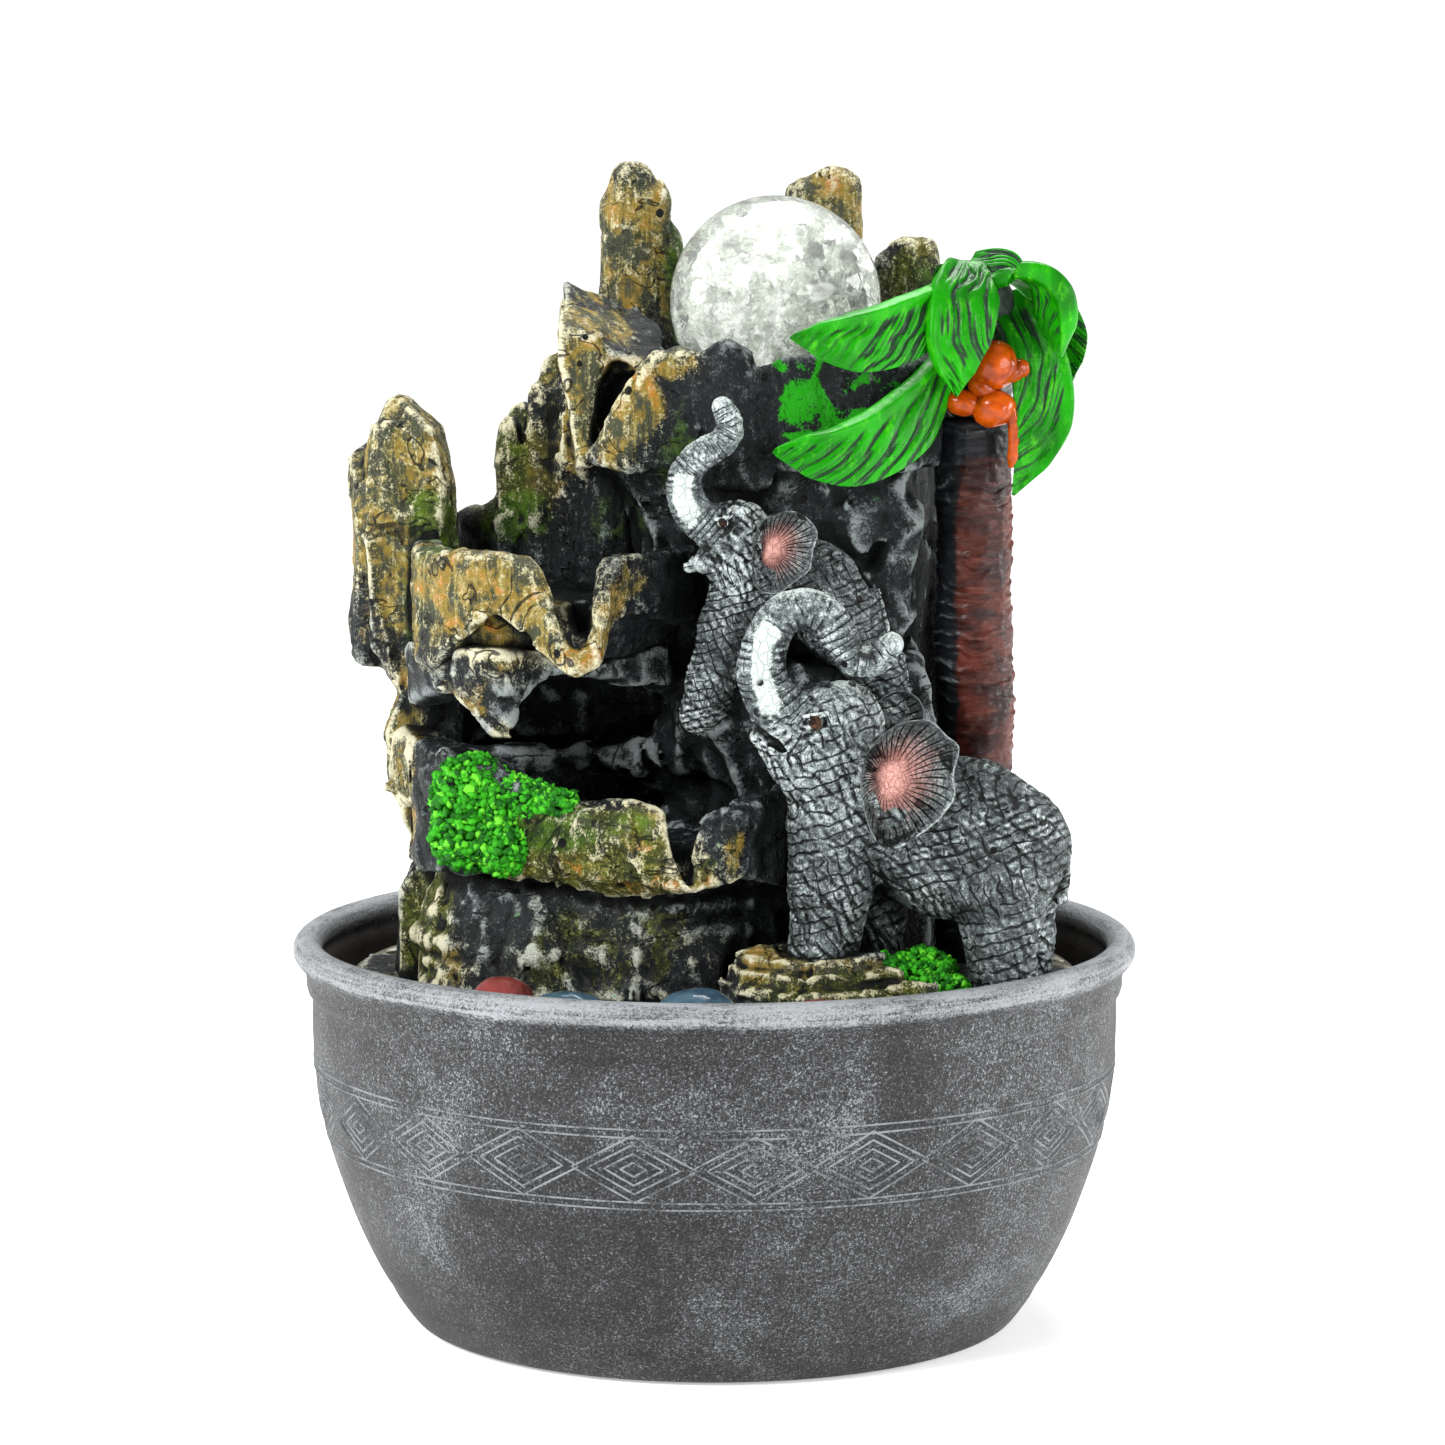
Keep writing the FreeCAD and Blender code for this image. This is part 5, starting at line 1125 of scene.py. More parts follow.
def rail_rings():
    """The level lines as closed rings: a rounded section carried round the axis."""
    shape = np.array([(-0.5, -0.62), (0.55, -0.42), (1, 0), (0.55, 0.42), (-0.5, 0.62)])
    angles = np.linspace(0, TURN, 260, endpoint=False)
    verts, faces = [], []
    for z in (63.3, 61.5, 46.3, 44.7):
        height = z + 0.1 * np.sin(angles * 4 + z) + 0.45 * shape[:, 1:]
        radius = bowl_radius(height) + 0.3 * shape[:, :1]
        ring = np.stack([radius * np.sin(angles), -radius * np.cos(angles), height], -1)
        faces.append(grid_faces(5, 260, True, True) + len(verts) * 5 * 260)
        verts.append(ring.reshape(-1, 3))
    return np.concatenate(verts), np.concatenate(faces)


def tube_surface(track, radius, sides):
    """A round tube: a circle carried square to a line of points, with a radius for each point or for each
    place on each circle, closed at both ends."""
    track = np.array(track, float)
    ahead = unit(np.gradient(track, axis=0))
    side = unit(np.cross(ahead, (0, 1, 0)))
    up = np.cross(side, ahead)
    turn = np.linspace(0, TURN, sides, endpoint=False)
    ring = np.cos(turn)[None, :, None] * side[:, None] + np.sin(turn)[None, :, None] * up[:, None]
    verts = track[:, None] + ring * np.reshape(radius, (len(track), -1, 1))
    ends = [np.repeat(track[i][None, None], sides, 1) + 1e-3 * ring[i][None] for i in (0, -1)]
    verts = np.concatenate([ends[0], verts, ends[1]])
    return verts.reshape(-1, 3), grid_faces(len(verts), sides)


def trunk_surface():
    """The palm's trunk: a tube whose radius swells in uneven rings, with shallow dents."""
    rows, sides = 300, 120
    t = np.linspace(0, 1, rows)
    track = np.stack([62 - 1.5 * t, -3 - 3 * t, 81.5 + 133 * t], -1)
    turn = np.linspace(0, TURN, sides, endpoint=False)
    still = 0 * t[:, None]
    place = np.stack([9 * np.cos(turn) + still, 9 * np.sin(turn) + still, track[:, 2:] + 0 * turn], -1)
    flat = place.reshape(-1, 3).astype(np.float32)
    bend = (0.8 * noise(flat, (9, 9, 7), 301) + 0.5 * noise(flat, (4, 4, 4), 302)).reshape(rows, sides)
    height = place[..., 2]
    rings = 0.16 * np.sin((height + 2.4 * bend) * TURN / 1.9)
    rings += 0.2 * np.sin((height + 3 * bend) * TURN / 3.7)
    rings *= 0.3 + 1.1 * held(noise(flat, (7, 7, 9), 303) + 0.4).reshape(rows, sides)
    lumps = 0.55 * noise(flat, 11, 304) + 0.3 * noise(flat, 3.2, 305) + 0.16 * noise(flat, 1.5, 306)
    radius = 9.2 - 0.4 * t[:, None] + rings + lumps.reshape(rows, sides)
    verts, faces = tube_surface(track, radius, sides)
    crest = np.pad((rings + 0.4 * lumps.reshape(rows, sides)).ravel(), sides)
    return verts, faces, {"edge": held(crest + 0.2), "hollow": held(-crest * 1.6)}


def frond_surface(spine, widths, side, seed, rib, slant):
    """A palm leaf: across its spine runs a section with a thick rolled rib at one edge and a thin blade at
    the other; broad furrows and fine brush lines run slantwise over the blade. The rib's sign says which
    edge it is on."""
    across = 64
    track = smooth(spine, 36)
    t = np.linspace(0, 1, len(track))
    rows = len(track)
    half = np.interp(t, np.linspace(0, 1, len(widths)), widths) / 2
    wide = smooth([(w,) for w in widths], 36)[:, 0] / 2
    half = 0.5 * half + 0.5 * wide[:rows]
    half *= np.clip(np.sqrt(held((1 - t) * 7)), 0.02, 1)
    ahead = unit(np.gradient(track, axis=0))
    out = unit(side - ahead * (ahead @ side)[:, None])
    up = np.cross(ahead, out)
    up *= -np.sign(up[:, 1:2] + 1e-9)
    loop = np.linspace(0, TURN, 2 * across, endpoint=False)
    v = np.cos(loop)
    face = np.sign(np.sin(loop)) * held(np.abs(np.sin(loop)) * 1.6) ** 0.6
    rim = v * rib
    thick = 0.9 + 1.7 * np.exp(-(((rim - 0.78) / 0.26) ** 2)) - 0.35 * held(-rim)
    taper = held(np.minimum(t * 6 + 0.4, (1 - t) * 5 + 0.15))[:, None]
    place = np.stack([rim * half[:, None], t[:, None] * 40 + 0 * v, 0 * v + 0 * t[:, None]], -1)
    flat = (place.reshape(-1, 3) + seed * 7).astype(np.float32)
    bend = noise(flat, (4, 7, 5), seed).reshape(rows, -1)
    reach = lengths(track)[:, None]
    fan = (rim - 1) * half[:, None] + slant * reach
    blade = np.clip(0.66 - rim, 0, 0.3) / 0.3 * held(t * 8)[:, None]
    broad = (0.5 - 0.5 * np.cos(TURN * (fan / 3.9 + 0.65 * bend))) ** 2.2 * blade
    brush = groove(fan / 1.3 + 0.5 * bend, 0.34) * blade * held(0.85 + bend)
    cuts = held(0.5 * broad + 0.75 * brush)
    lumps = 0.35 * noise(flat, (3, 5, 3), seed + 3).reshape(rows, -1)
    height = face * (thick * taper + lumps * taper * 0.8 - 0.7 * broad - 0.4 * brush)
    cup = -1.6 * (v**2) * held(half[:, None] / 7) * np.sin(np.pi * t)[:, None]
    verts = track[:, None] + out[:, None] * (v * half[:, None])[..., None]
    verts = verts + up[:, None] * (height + cup)[..., None]
    ends = [(0.999 * verts[i].mean(0) + verts[i] * 0.001)[None] for i in (0, -1)]
    verts = np.concatenate([ends[0], verts, ends[1]])
    bare = np.repeat(0.34 - 0.3 * t, 2 * across)
    marks = {"hollow": np.pad(cuts.ravel(), 2 * across), "dark": np.pad(bare, 2 * across)}
    faces = grid_faces(rows + 2, 2 * across)
    return verts.reshape(-1, 3), faces, marks


def sphere_rays(rows, columns, tip):
    """Unit rays over a sphere, row by row from just off one pole to just off the other."""
    polar = np.linspace(tip, math.pi - tip, rows)[:, None]
    turn = np.linspace(0, TURN, columns, endpoint=False)
    out = np.sin(polar)
    return np.stack([out * np.cos(turn), out * np.sin(turn), np.cos(polar) + 0 * turn], -1).reshape(-1, 3)


def ball_surface(centre, radii, relief, rows=60, columns=90):
    """A rounded lump: a sphere's grid scaled to three radii, moved out along itself by a relief."""
    ray = sphere_rays(rows, columns, 1e-3)
    verts = ray * radii
    verts = verts + ray * relief((verts + centre).astype(np.float32))[:, None] + centre
    faces = grid_faces(rows, columns)
    return verts, facing_out(verts, faces)


def joined(parts):
    """Several surfaces as one: their points in a row, and their faces counted on."""
    verts, faces, count = [], [], 0
    for v, f in parts:
        verts.append(v)
        faces.append(f + count)
        count += len(v)
    return np.concatenate(verts), np.concatenate(faces)


def moss_surface(tufts, size, spread, seed):
    """Flock: small knobbly grains scattered over the tops of rounded tufts. Each grain is a low-sided ball
    with its own size, squash and turn, and its place is picked by chance on its tuft."""
    rng = np.random.default_rng(seed)
    grain = sphere_rays(5, 6, 0.02)
    ball = grid_faces(5, 6)[:, ::-1]
    seats = []
    for x, y, z, rx, ry, rz in tufts:
        count = int(spread * (rx * ry + rx * rz + ry * rz))
        ray = unit(rng.normal(size=(count, 3)))
        ray[:, 1] = -np.abs(ray[:, 1]) * np.where(rng.random(count) < 0.85, 1, -1)
        seats.append(np.array((x, y, z)) + ray * (rx, ry, rz) * rng.uniform(0.86, 1.04, (count, 1)))
    seats = np.concatenate(seats)
    scale = size * rng.uniform(0.55, 1.35, (len(seats), 1, 3)) * rng.uniform(0.8, 1.2, (len(seats), 1, 1))
    w, x, y, z = unit(rng.normal(size=(len(seats), 4))).T
    matrix = np.stack([1 - 2 * (y * y + z * z), 2 * (x * y - z * w), 2 * (x * z + y * w),
                       2 * (x * y + z * w), 1 - 2 * (x * x + z * z), 2 * (y * z - x * w),
                       2 * (x * z - y * w), 2 * (y * z + x * w), 1 - 2 * (x * x + y * y)], -1)
    matrix = matrix.reshape(-1, 3, 3)
    knob = grain[None] * scale * (1 + 0.35 * rng.uniform(-1, 1, (len(seats), len(grain), 1)))
    verts = seats[:, None] + np.einsum("nij,nkj->nki", matrix, knob)
    faces = ball[None] + (np.arange(len(seats)) * len(grain))[:, None, None]
    tone = np.repeat(rng.random(len(seats)), len(grain))
    return verts.reshape(-1, 3), faces.reshape(-1, 4), {"tone": tone}


def flake_surface(centre, reach, count, seed):
    """The cracks in the ball: flat eight-sided flakes, each at its own place and turn within a radius."""
    rng = np.random.default_rng(seed)
    tips = np.array([(1, 0, 0), (0, 1, 0), (-1, 0, 0), (0, -1, 0), (0, 0, 1), (0, 0, -1)], float)
    sides = [(0, 1, 4), (1, 2, 4), (2, 3, 4), (3, 0, 4), (1, 0, 5), (2, 1, 5), (3, 2, 5), (0, 3, 5)]
    ray = unit(rng.normal(size=(count, 3)))
    seats = np.array(centre) + ray * reach * rng.random((count, 1)) ** 0.33
    basis = np.linalg.qr(rng.normal(size=(count, 3, 3)))[0]
    size = np.stack([rng.uniform(1.0, 3.4, count), rng.uniform(1.0, 2.6, count), np.full(count, 0.05)], -1)
    verts = seats[:, None] + np.einsum("nij,kj->nki", basis * size[:, None], tips)
    flip = np.linalg.det(basis) < 0
    faces = np.array(sides)[None] + (np.arange(count) * 6)[:, None, None]
    faces = np.where(flip[:, None, None], faces[:, :, ::-1], faces)
    return verts.reshape(-1, 3), faces.reshape(-1, 3)


# ------------------------------------------------------------------ paint


# black for cracks and creases, and for the painted shade in shut-in hollows
SHADE_AND_CREVICE_BLACK = rgb(0.003, 0.004, 0.004)
CHARCOAL = rgb(0.007, 0.009, 0.010)
OCHRE = rgb(0.22, 0.15, 0.022)
RUST = rgb(0.40, 0.14, 0.006)
CREAM = rgb(0.58, 0.55, 0.36)
OLIVE = rgb(0.10, 0.115, 0.008)
PALE = rgb(0.30, 0.35, 0.35)
MOSS_WASH = rgb(0.065, 0.14, 0.004)
LEAF_GREEN = rgb(0.010, 0.27, 0.002)


def rock_paint():
    """Cast stone: a charcoal coat, washes of ochre, olive and green, rust spots, cream and pale grey
    brushed over the ridges, black in the hollows as dark paint and as painted shade where the stone is shut
    in, thin cracks and pinholes, under a satin varnish."""
    paint = Finish("rock_paint")
    blotch = paint.noise(85, 4, 0.6, bend=0.8)
    patch = paint.noise(210, 4, 0.68, bend=0.6)
    grain = paint.noise(2100, 2, 0.7)
    fleck = paint.noise(780, 4, 0.75, bend=0.5)
    streak = paint.noise(1.0, 4, 0.7, paint.stretched((700, 700, 80)))
    edge, hollow = paint.mark("edge"), paint.mark("hollow")
    warm, olive, green = paint.mark("warm"), paint.mark("olive"), paint.mark("green")
    stipple = 1.2 * (fleck - 0.5) + 0.9 * (grain - 0.5)
    coloured = paint.ease(warm + 0.6 * olive + 0.2 * stipple, 0.08, 0.6)
    dark = paint.over(CHARCOAL, patch + 0.7 * stipple, 0.45, 0.8, rgb(0.030, 0.036, 0.038))
    # the warm coat: grey-brown, then ochre in clouds and runs, then a yellower and a paler ochre
    brown = paint.over(rgb(0.045, 0.050, 0.028), blotch + 0.8 * (patch - 0.5) + 0.5 * (streak - 0.5), 0.42,
                       0.6, OCHRE)
    brown = paint.over(brown, streak + 0.5 * (patch - 0.5) + 0.4 * stipple, 0.48, 0.72,
                       rgb(0.29, 0.27, 0.09), 0.7)
    brown = paint.over(brown, patch + 0.9 * stipple, 0.56, 0.82, rgb(0.37, 0.32, 0.15), 0.8)
    base = paint.over(dark, warm + 1.3 * (blotch - 0.5) + 0.5 * stipple, 0.36, 0.66, brown)
    moss = paint.over(rgb(0.026, 0.032, 0.006), patch + 0.7 * stipple, 0.4, 0.7, OLIVE)
    moss = paint.over(moss, streak + 0.6 * stipple, 0.52, 0.78, rgb(0.24, 0.24, 0.04), 0.7)
    base = paint.over(base, olive + 1.4 * (blotch - 0.5) + 0.5 * stipple, 0.38, 0.72, moss, 0.88)
    rust = paint.ease(blotch + 0.8 * (patch - 0.5) + 0.4 * stipple, 0.62, 0.74) * paint.ease(warm, 0.2, 0.7)
    base = paint.mix(rust * 0.85, base, RUST)
    wet = paint.over(rgb(0.008, 0.026, 0.003), patch, 0.35, 0.7, MOSS_WASH)
    base = paint.over(base, green + 1.1 * (patch - 0.5) + 0.4 * stipple, 0.35, 0.8, wet, 0.88)
    # dry brush: a broad faint pass over everything raised, then a crisp broken one on the sharpest ridges
    pale = paint.mix(coloured, PALE, CREAM)
    rub = edge + 1.2 * stipple + 0.6 * (patch - 0.5) + 0.5 * (blotch - 0.5)
    amount = 0.38 + 0.62 * coloured
    base = paint.mix(paint.ease(rub, 0.12, 0.75) * 0.72 * amount, base, pale)
    bright = paint.mix(coloured, rgb(0.46, 0.52, 0.51), rgb(0.80, 0.78, 0.68))
    base = paint.mix(paint.ease(rub, 0.5, 0.95) * 0.9 * amount, base, bright)
    veil = paint.ease(streak + 0.8 * stipple + 0.5 * edge, 0.62, 0.88) * (0.16 + 0.6 * coloured)
    base = paint.mix(veil, base, pale)
    vein = paint.maths("ABSOLUTE", paint.noise(48, 3, 0.6, bend=1.2) - 0.5)
    seam = paint.ease(0.010 - vein, 0.0, 0.008) * paint.ease(blotch, 0.42, 0.5)
    # painted shade: black over the hollows where the stone is shut in, with the dark paint of its creases
    base = paint.over(base, hollow + 0.45 * (patch - 0.5) + 0.35 * stipple, 0.16, 0.7, SHADE_AND_CREVICE_BLACK, 0.97)
    base = paint.mix(seam * 0.85, base, SHADE_AND_CREVICE_BLACK)
    splash = paint.mark("leaf") + 1.9 * (patch - 0.5) + 0.8 * stipple
    base = paint.over(base, splash, 0.45, 0.6, LEAF_GREEN)
    pins = paint.ease(0.15 - paint.cells(130), 0.0, 0.03) * paint.ease(paint.noise(60, 2), 0.5, 0.54)
    base = paint.mix(pins, base, rgb(0.003, 0.003, 0.003))
    height = 0.5 * grain + 0.8 * fleck + 0.9 * streak + 0.6 * patch - 1.5 * pins - 1.2 * seam
    rough = 0.34 + 0.25 * patch + 0.1 * grain
    paint.surface(base, rough, height, 0.0008, 1.0)
    paint.set(**{"Specular IOR Level": 0.15, "Coat Weight": 0.03, "Coat Roughness": 0.2})
    return paint


def elephant_paint():
    """Elephant: black in the grooves and, as painted shade, where the skin is shut in; a dry brush of pale
    green-grey over the ridges; white on the trunk."""
    paint = Finish("elephant_paint")
    grain = paint.noise(2200, 2, 0.75)
    fleck = paint.noise(820, 4, 0.75, bend=0.5)
    blotch = paint.noise(120, 4, 0.6)
    scratch = paint.noise(1.0, 3, 0.65, paint.stretched((500, 500, 2300), (0.5, 0.3, 0)))
    lines = paint.cells(480, "DISTANCE_TO_EDGE", paint.stretched((1.2, 1.0, 0.75), (0, 0.3, 0)))
    edge, hollow, white, pink = (paint.mark(name) for name in ("edge", "hollow", "white", "pink"))
    crease = paint.ease(0.09 - lines, 0.0, 0.09) * paint.ease(fleck + 0.8 * (blotch - 0.5), 0.35, 0.6)
    wander = 1.5 * (paint.noise(110, 2) - 0.5) + 0.6 * (paint.noise(330, 2) - 0.5)
    rings = paint.maths("PINGPONG", paint.mark("ring") + wander, 0.5)
    folds = paint.maths("PINGPONG", paint.mark("fold") + wander, 0.5)
    region = paint.noise(75, 3, 0.6)
    broken = paint.ease(paint.noise(200, 3, bend=0.4) - 0.8 * (region - 0.5), 0.40, 0.52)
    broken_too = paint.ease(paint.noise(170, 3, bend=0.7) + 1.2 * (region - 0.5), 0.46, 0.58)
    lines = paint.ease(0.12 - rings, 0, 0.09) * broken
    lines = paint.maths("MAXIMUM", lines, paint.ease(0.11 - folds, 0, 0.09) * broken_too)
    lines = lines * (1 - 0.75 * white)
    crease = paint.maths("MAXIMUM", 0.4 * crease, lines)
    stipple = 1.3 * (fleck - 0.5) + 0.9 * (grain - 0.5) + 0.5 * (scratch - 0.5)
    base = paint.over(rgb(0.016, 0.019, 0.020), blotch, 0.35, 0.7, rgb(0.034, 0.040, 0.041))
    rub = edge + stipple + 0.9 * (blotch - 0.5) - 0.35 * crease
    base = paint.over(base, rub, -0.05, 0.65, rgb(0.185, 0.225, 0.225), 0.85)
    base = paint.over(base, rub, 0.36, 0.92, rgb(0.58, 0.65, 0.64), 0.88)
    base = paint.over(base, pink + 0.7 * stipple, 0.2, 1.0, rgb(0.48, 0.20, 0.17), 0.85)
    base = paint.over(base, pink + 0.6 * stipple, 0.75, 1.2, rgb(0.80, 0.44, 0.38), 0.75)
    # black in the wrinkles, and painted shade where the skin is shut in
    base = paint.over(base, hollow + 0.62 * crease + 0.3 * stipple, 0.22, 0.8, SHADE_AND_CREVICE_BLACK, 0.95)
    base = paint.over(base, white + 0.5 * stipple, 0.38, 0.62, rgb(0.60, 0.68, 0.65), 0.9)
    pins = paint.ease(0.15 - paint.cells(150), 0.0, 0.03) * paint.ease(paint.noise(70, 2), 0.52, 0.56)
    base = paint.mix(pins, base, rgb(0.003, 0.003, 0.003))
    iris = paint.over(rgb(0.012, 0.006, 0.004), paint.noise(500, 3), 0.45, 0.6, rgb(0.075, 0.032, 0.016))
    base = paint.over(base, paint.mark("eye"), 0.4, 0.6, iris)
    height = 0.4 * grain + 0.6 * fleck + 0.4 * scratch - 1.5 * crease - 1.2 * pins
    paint.surface(base, 0.42 + 0.25 * grain, height, 0.0006, 1.0)
    paint.set(**{"Specular IOR Level": 0.18})
    return paint


def bowl_paint():
    """The bowl: a dark grey with close pale speckle, cloudy lighter rubs, a worn streaky rim, and brown
    inside."""
    paint = Finish("bowl_paint")
    speck = paint.noise(2300, 2, 0.8)
    dots = paint.noise(1250, 4, 0.8)
    cloudy = paint.noise(22, 5, 0.62, bend=0.7)
    haze = paint.noise(75, 5, 0.75, bend=0.6)
    streaks = paint.noise(1.0, 4, 0.7, paint.stretched((40, 40, 900)))
    edge = paint.mark("edge")
    stipple = 1.6 * (speck - 0.5) + 1.5 * (dots - 0.5)
    rub = 0.8 * (cloudy - 0.5) + 0.35 * (haze - 0.5) + 1.15 * stipple
    base = paint.over(rgb(0.006, 0.006, 0.007), rub, -0.25, 0.25, rgb(0.050, 0.052, 0.055))
    base = paint.over(base, rub, 0.14, 0.48, rgb(0.30, 0.315, 0.33), 0.85)
    scuff = paint.ease(haze + 0.8 * (cloudy - 0.5) + 0.5 * stipple, 0.66, 0.86)
    base = paint.mix(scuff * 0.3, base, rgb(0.30, 0.315, 0.33))
    worn = edge * (0.9 + 1.3 * (streaks - 0.5)) + 0.7 * (haze - 0.5) + 0.6 * stipple
    base = paint.over(base, worn, 0.45, 1.1, rgb(0.40, 0.42, 0.44), 0.7)
    inside = paint.over(rgb(0.014, 0.011, 0.009), haze, 0.3, 0.7, rgb(0.04, 0.032, 0.027))
    base = paint.mix(paint.mark("inner"), base, inside)
    height = 0.7 * speck + 0.8 * dots + 0.4 * streaks * edge
    paint.surface(base, 0.42 + 0.25 * dots, height, 0.0003, 1.0)
    paint.set(**{"Specular IOR Level": 0.3})
    return paint


def line_paint():
    """The raised lines: the bowl's grey with more of the pale rub."""
    paint = Finish("bowl_line_paint")
    speck = paint.noise(1500, 3, 0.8)
    haze = paint.noise(110, 3, 0.6)
    base = paint.over(rgb(0.035, 0.037, 0.039), speck + 1.1 * (haze - 0.5), 0.32, 0.66,
                      rgb(0.22, 0.235, 0.25))
    paint.surface(base, 0.6, speck, 0.0002, 0.7)
    return paint


def trunk_paint():
    """Palm trunk: glossy red-brown over black, worn through on the rings; black down its front left side,
    at its foot and under the crown.
    """
    paint = Finish("trunk_paint")
    fleck = paint.noise(330, 4, 0.7, bend=0.5)
    grain = paint.noise(900, 3, 0.7)
    blotch = paint.noise(70, 3, bend=0.5)
    rings = paint.noise(1.0, 3, 0.7, paint.stretched((120, 120, 700)))
    edge, hollow, black = paint.mark("edge"), paint.mark("hollow"), paint.mark("black")
    base = paint.over(rgb(0.016, 0.004, 0.003), blotch + 0.4 * (rings - 0.5), 0.35, 0.65,
                      rgb(0.100, 0.021, 0.013))
    base = paint.over(base, edge + 1.2 * (rings - 0.5) + 0.6 * (fleck - 0.5), 0.35, 1.1,
                      rgb(0.26, 0.115, 0.095), 0.6)
    # black down the front left side, at the foot and under the crown
    base = paint.over(base, black + 0.9 * (fleck - 0.5), 0.4, 0.7, rgb(0.008, 0.009, 0.011))
    base = paint.over(base, hollow + 0.5 * (fleck - 0.5), 0.5, 1.2, SHADE_AND_CREVICE_BLACK, 0.7)
    grey = paint.ease(edge * black + 0.8 * (grain - 0.5), 0.3, 0.9)
    base = paint.mix(grey * 0.5, base, PALE)
    height = 0.6 * fleck + 0.5 * rings + 0.2 * grain
    paint.surface(base, 0.3 + 0.25 * fleck, height, 0.0005, 0.9)
    paint.set(**{"Specular IOR Level": 0.2, "Coat Weight": 0.08, "Coat Roughness": 0.12})
    return paint


def leaf_paint():
    """Palm leaves: bright gloss green over charcoal, which shows in the grooves."""
    paint = Finish("leaf_paint")
    fleck = paint.noise(300, 4, 0.7, bend=0.6)
    blotch = paint.noise(60, 3, bend=0.4)
    brush = paint.noise(1.0, 3, 0.6, paint.stretched((500, 300, 200), (0, 0.6, 0)))
    hollow, dark = paint.mark("hollow"), paint.mark("dark")
    base = paint.over(rgb(0.003, 0.11, 0.001), blotch, 0.3, 0.7, rgb(0.010, 0.30, 0.001))
    # lighter yellow-green brush streaks, partly brush paint and partly painted highlight
    base = paint.over(base, brush + 0.6 * (fleck - 0.5), 0.5, 0.8, rgb(0.07, 0.50, 0.010), 0.6)
    worn = hollow * (0.35 + 2.3 * (blotch + dark - 0.42)) + 0.9 * (fleck - 0.5)
    base = paint.over(base, worn, 0.3, 0.62, rgb(0.014, 0.020, 0.019), 0.92)
    height = 0.5 * fleck + 0.6 * brush
    paint.surface(base, 0.27 + 0.2 * fleck, height, 0.0005, 0.9)
    paint.set(**{"Specular IOR Level": 0.12, "Coat Weight": 0.03, "Coat Roughness": 0.12})
    return paint


def plain_paint(name, dark, light, rough, size=300, height=0.0003, coat=0.0, second=None):
    """A paint or plastic of two close tones, mottled, with a slight orange-peel relief."""
    paint = Finish(name)
    mottle = paint.noise(size, 4, 0.6, bend=0.3)
    fine = paint.noise(size * 4, 3, 0.6)
    base = paint.over(rgb(*dark), mottle + 0.3 * (fine - 0.5), 0.3, 0.7, rgb(*light))
    if second:
        base = paint.over(base, paint.noise(size / 4, 3), 0.58, 0.7, rgb(*second), 0.7)
    paint.set(**{"Base Color": base, "Roughness": rough + 0.12 * (mottle - 0.5)})
    paint.set(**{"Normal": paint.bump(0.6 * mottle + 0.4 * fine, height, 0.8), "Coat Weight": coat})
    paint.set(**{"Coat Roughness": 0.1, "Specular IOR Level": 0.15})
    return paint


def moss_paint():
    """Moss: vivid green grains, darker and yellower from grain to grain."""
    paint = Finish("moss_paint")
    tone = paint.mark("tone")
    fine = paint.noise(1200, 3, 0.7)
    base = paint.over(rgb(0.004, 0.085, 0.002), tone + 0.4 * (fine - 0.5), 0.1, 0.8, rgb(0.03, 0.34, 0.006))
    base = paint.over(base, tone + 0.3 * (fine - 0.5), 0.78, 1.0, rgb(0.16, 0.62, 0.03), 0.8)
    paint.surface(base, 0.6, fine, 0.0002, 0.8)
    paint.set(**{"Specular IOR Level": 0.2})
    return paint


def crackle_glass():
    """The ball: clear glass whose surface waves slightly over its cracks."""
    glass = Finish("crackle_glass")
    facets = glass.cells(210)
    wave = glass.noise(120, 3, 0.6)
    glass.set(**{"Base Color": rgb(0.90, 0.93, 0.88), "Roughness": 0.02})
    glass.set(**{"IOR": 1.33, "Transmission Weight": 0.86})
    glass.set(Normal=glass.bump(0.8 * facets + 0.5 * wave, 0.0005, 0.35))
    return glass


def crack_flakes():
    """The cracks: bright thin flakes, clear in places, that glow a little as painted light."""
    flake = Finish("crack_flakes")
    fine = flake.noise(700, 3, 0.7)
    base = flake.over(rgb(0.46, 0.51, 0.44), fine, 0.35, 0.65, rgb(0.93, 0.97, 0.91))
    clear = flake.ease(flake.noise(260, 3, 0.6), 0.46, 0.62) * 0.5
    flake.set(**{"Base Color": base, "Roughness": 0.12 + 0.3 * fine, "Alpha": 0.05 + clear})
    # painted light: the flakes glow faintly in their own colour, as the lamps' light does not reach them
    # through the glass
    flake.set(**{"Emission Color": base, "Emission Strength": 0.12})
    flake.set(**{"Normal": flake.bump(fine, 0.0004, 0.8)})
    return flake


# ------------------------------------------------------------------ where the washes of colour lie

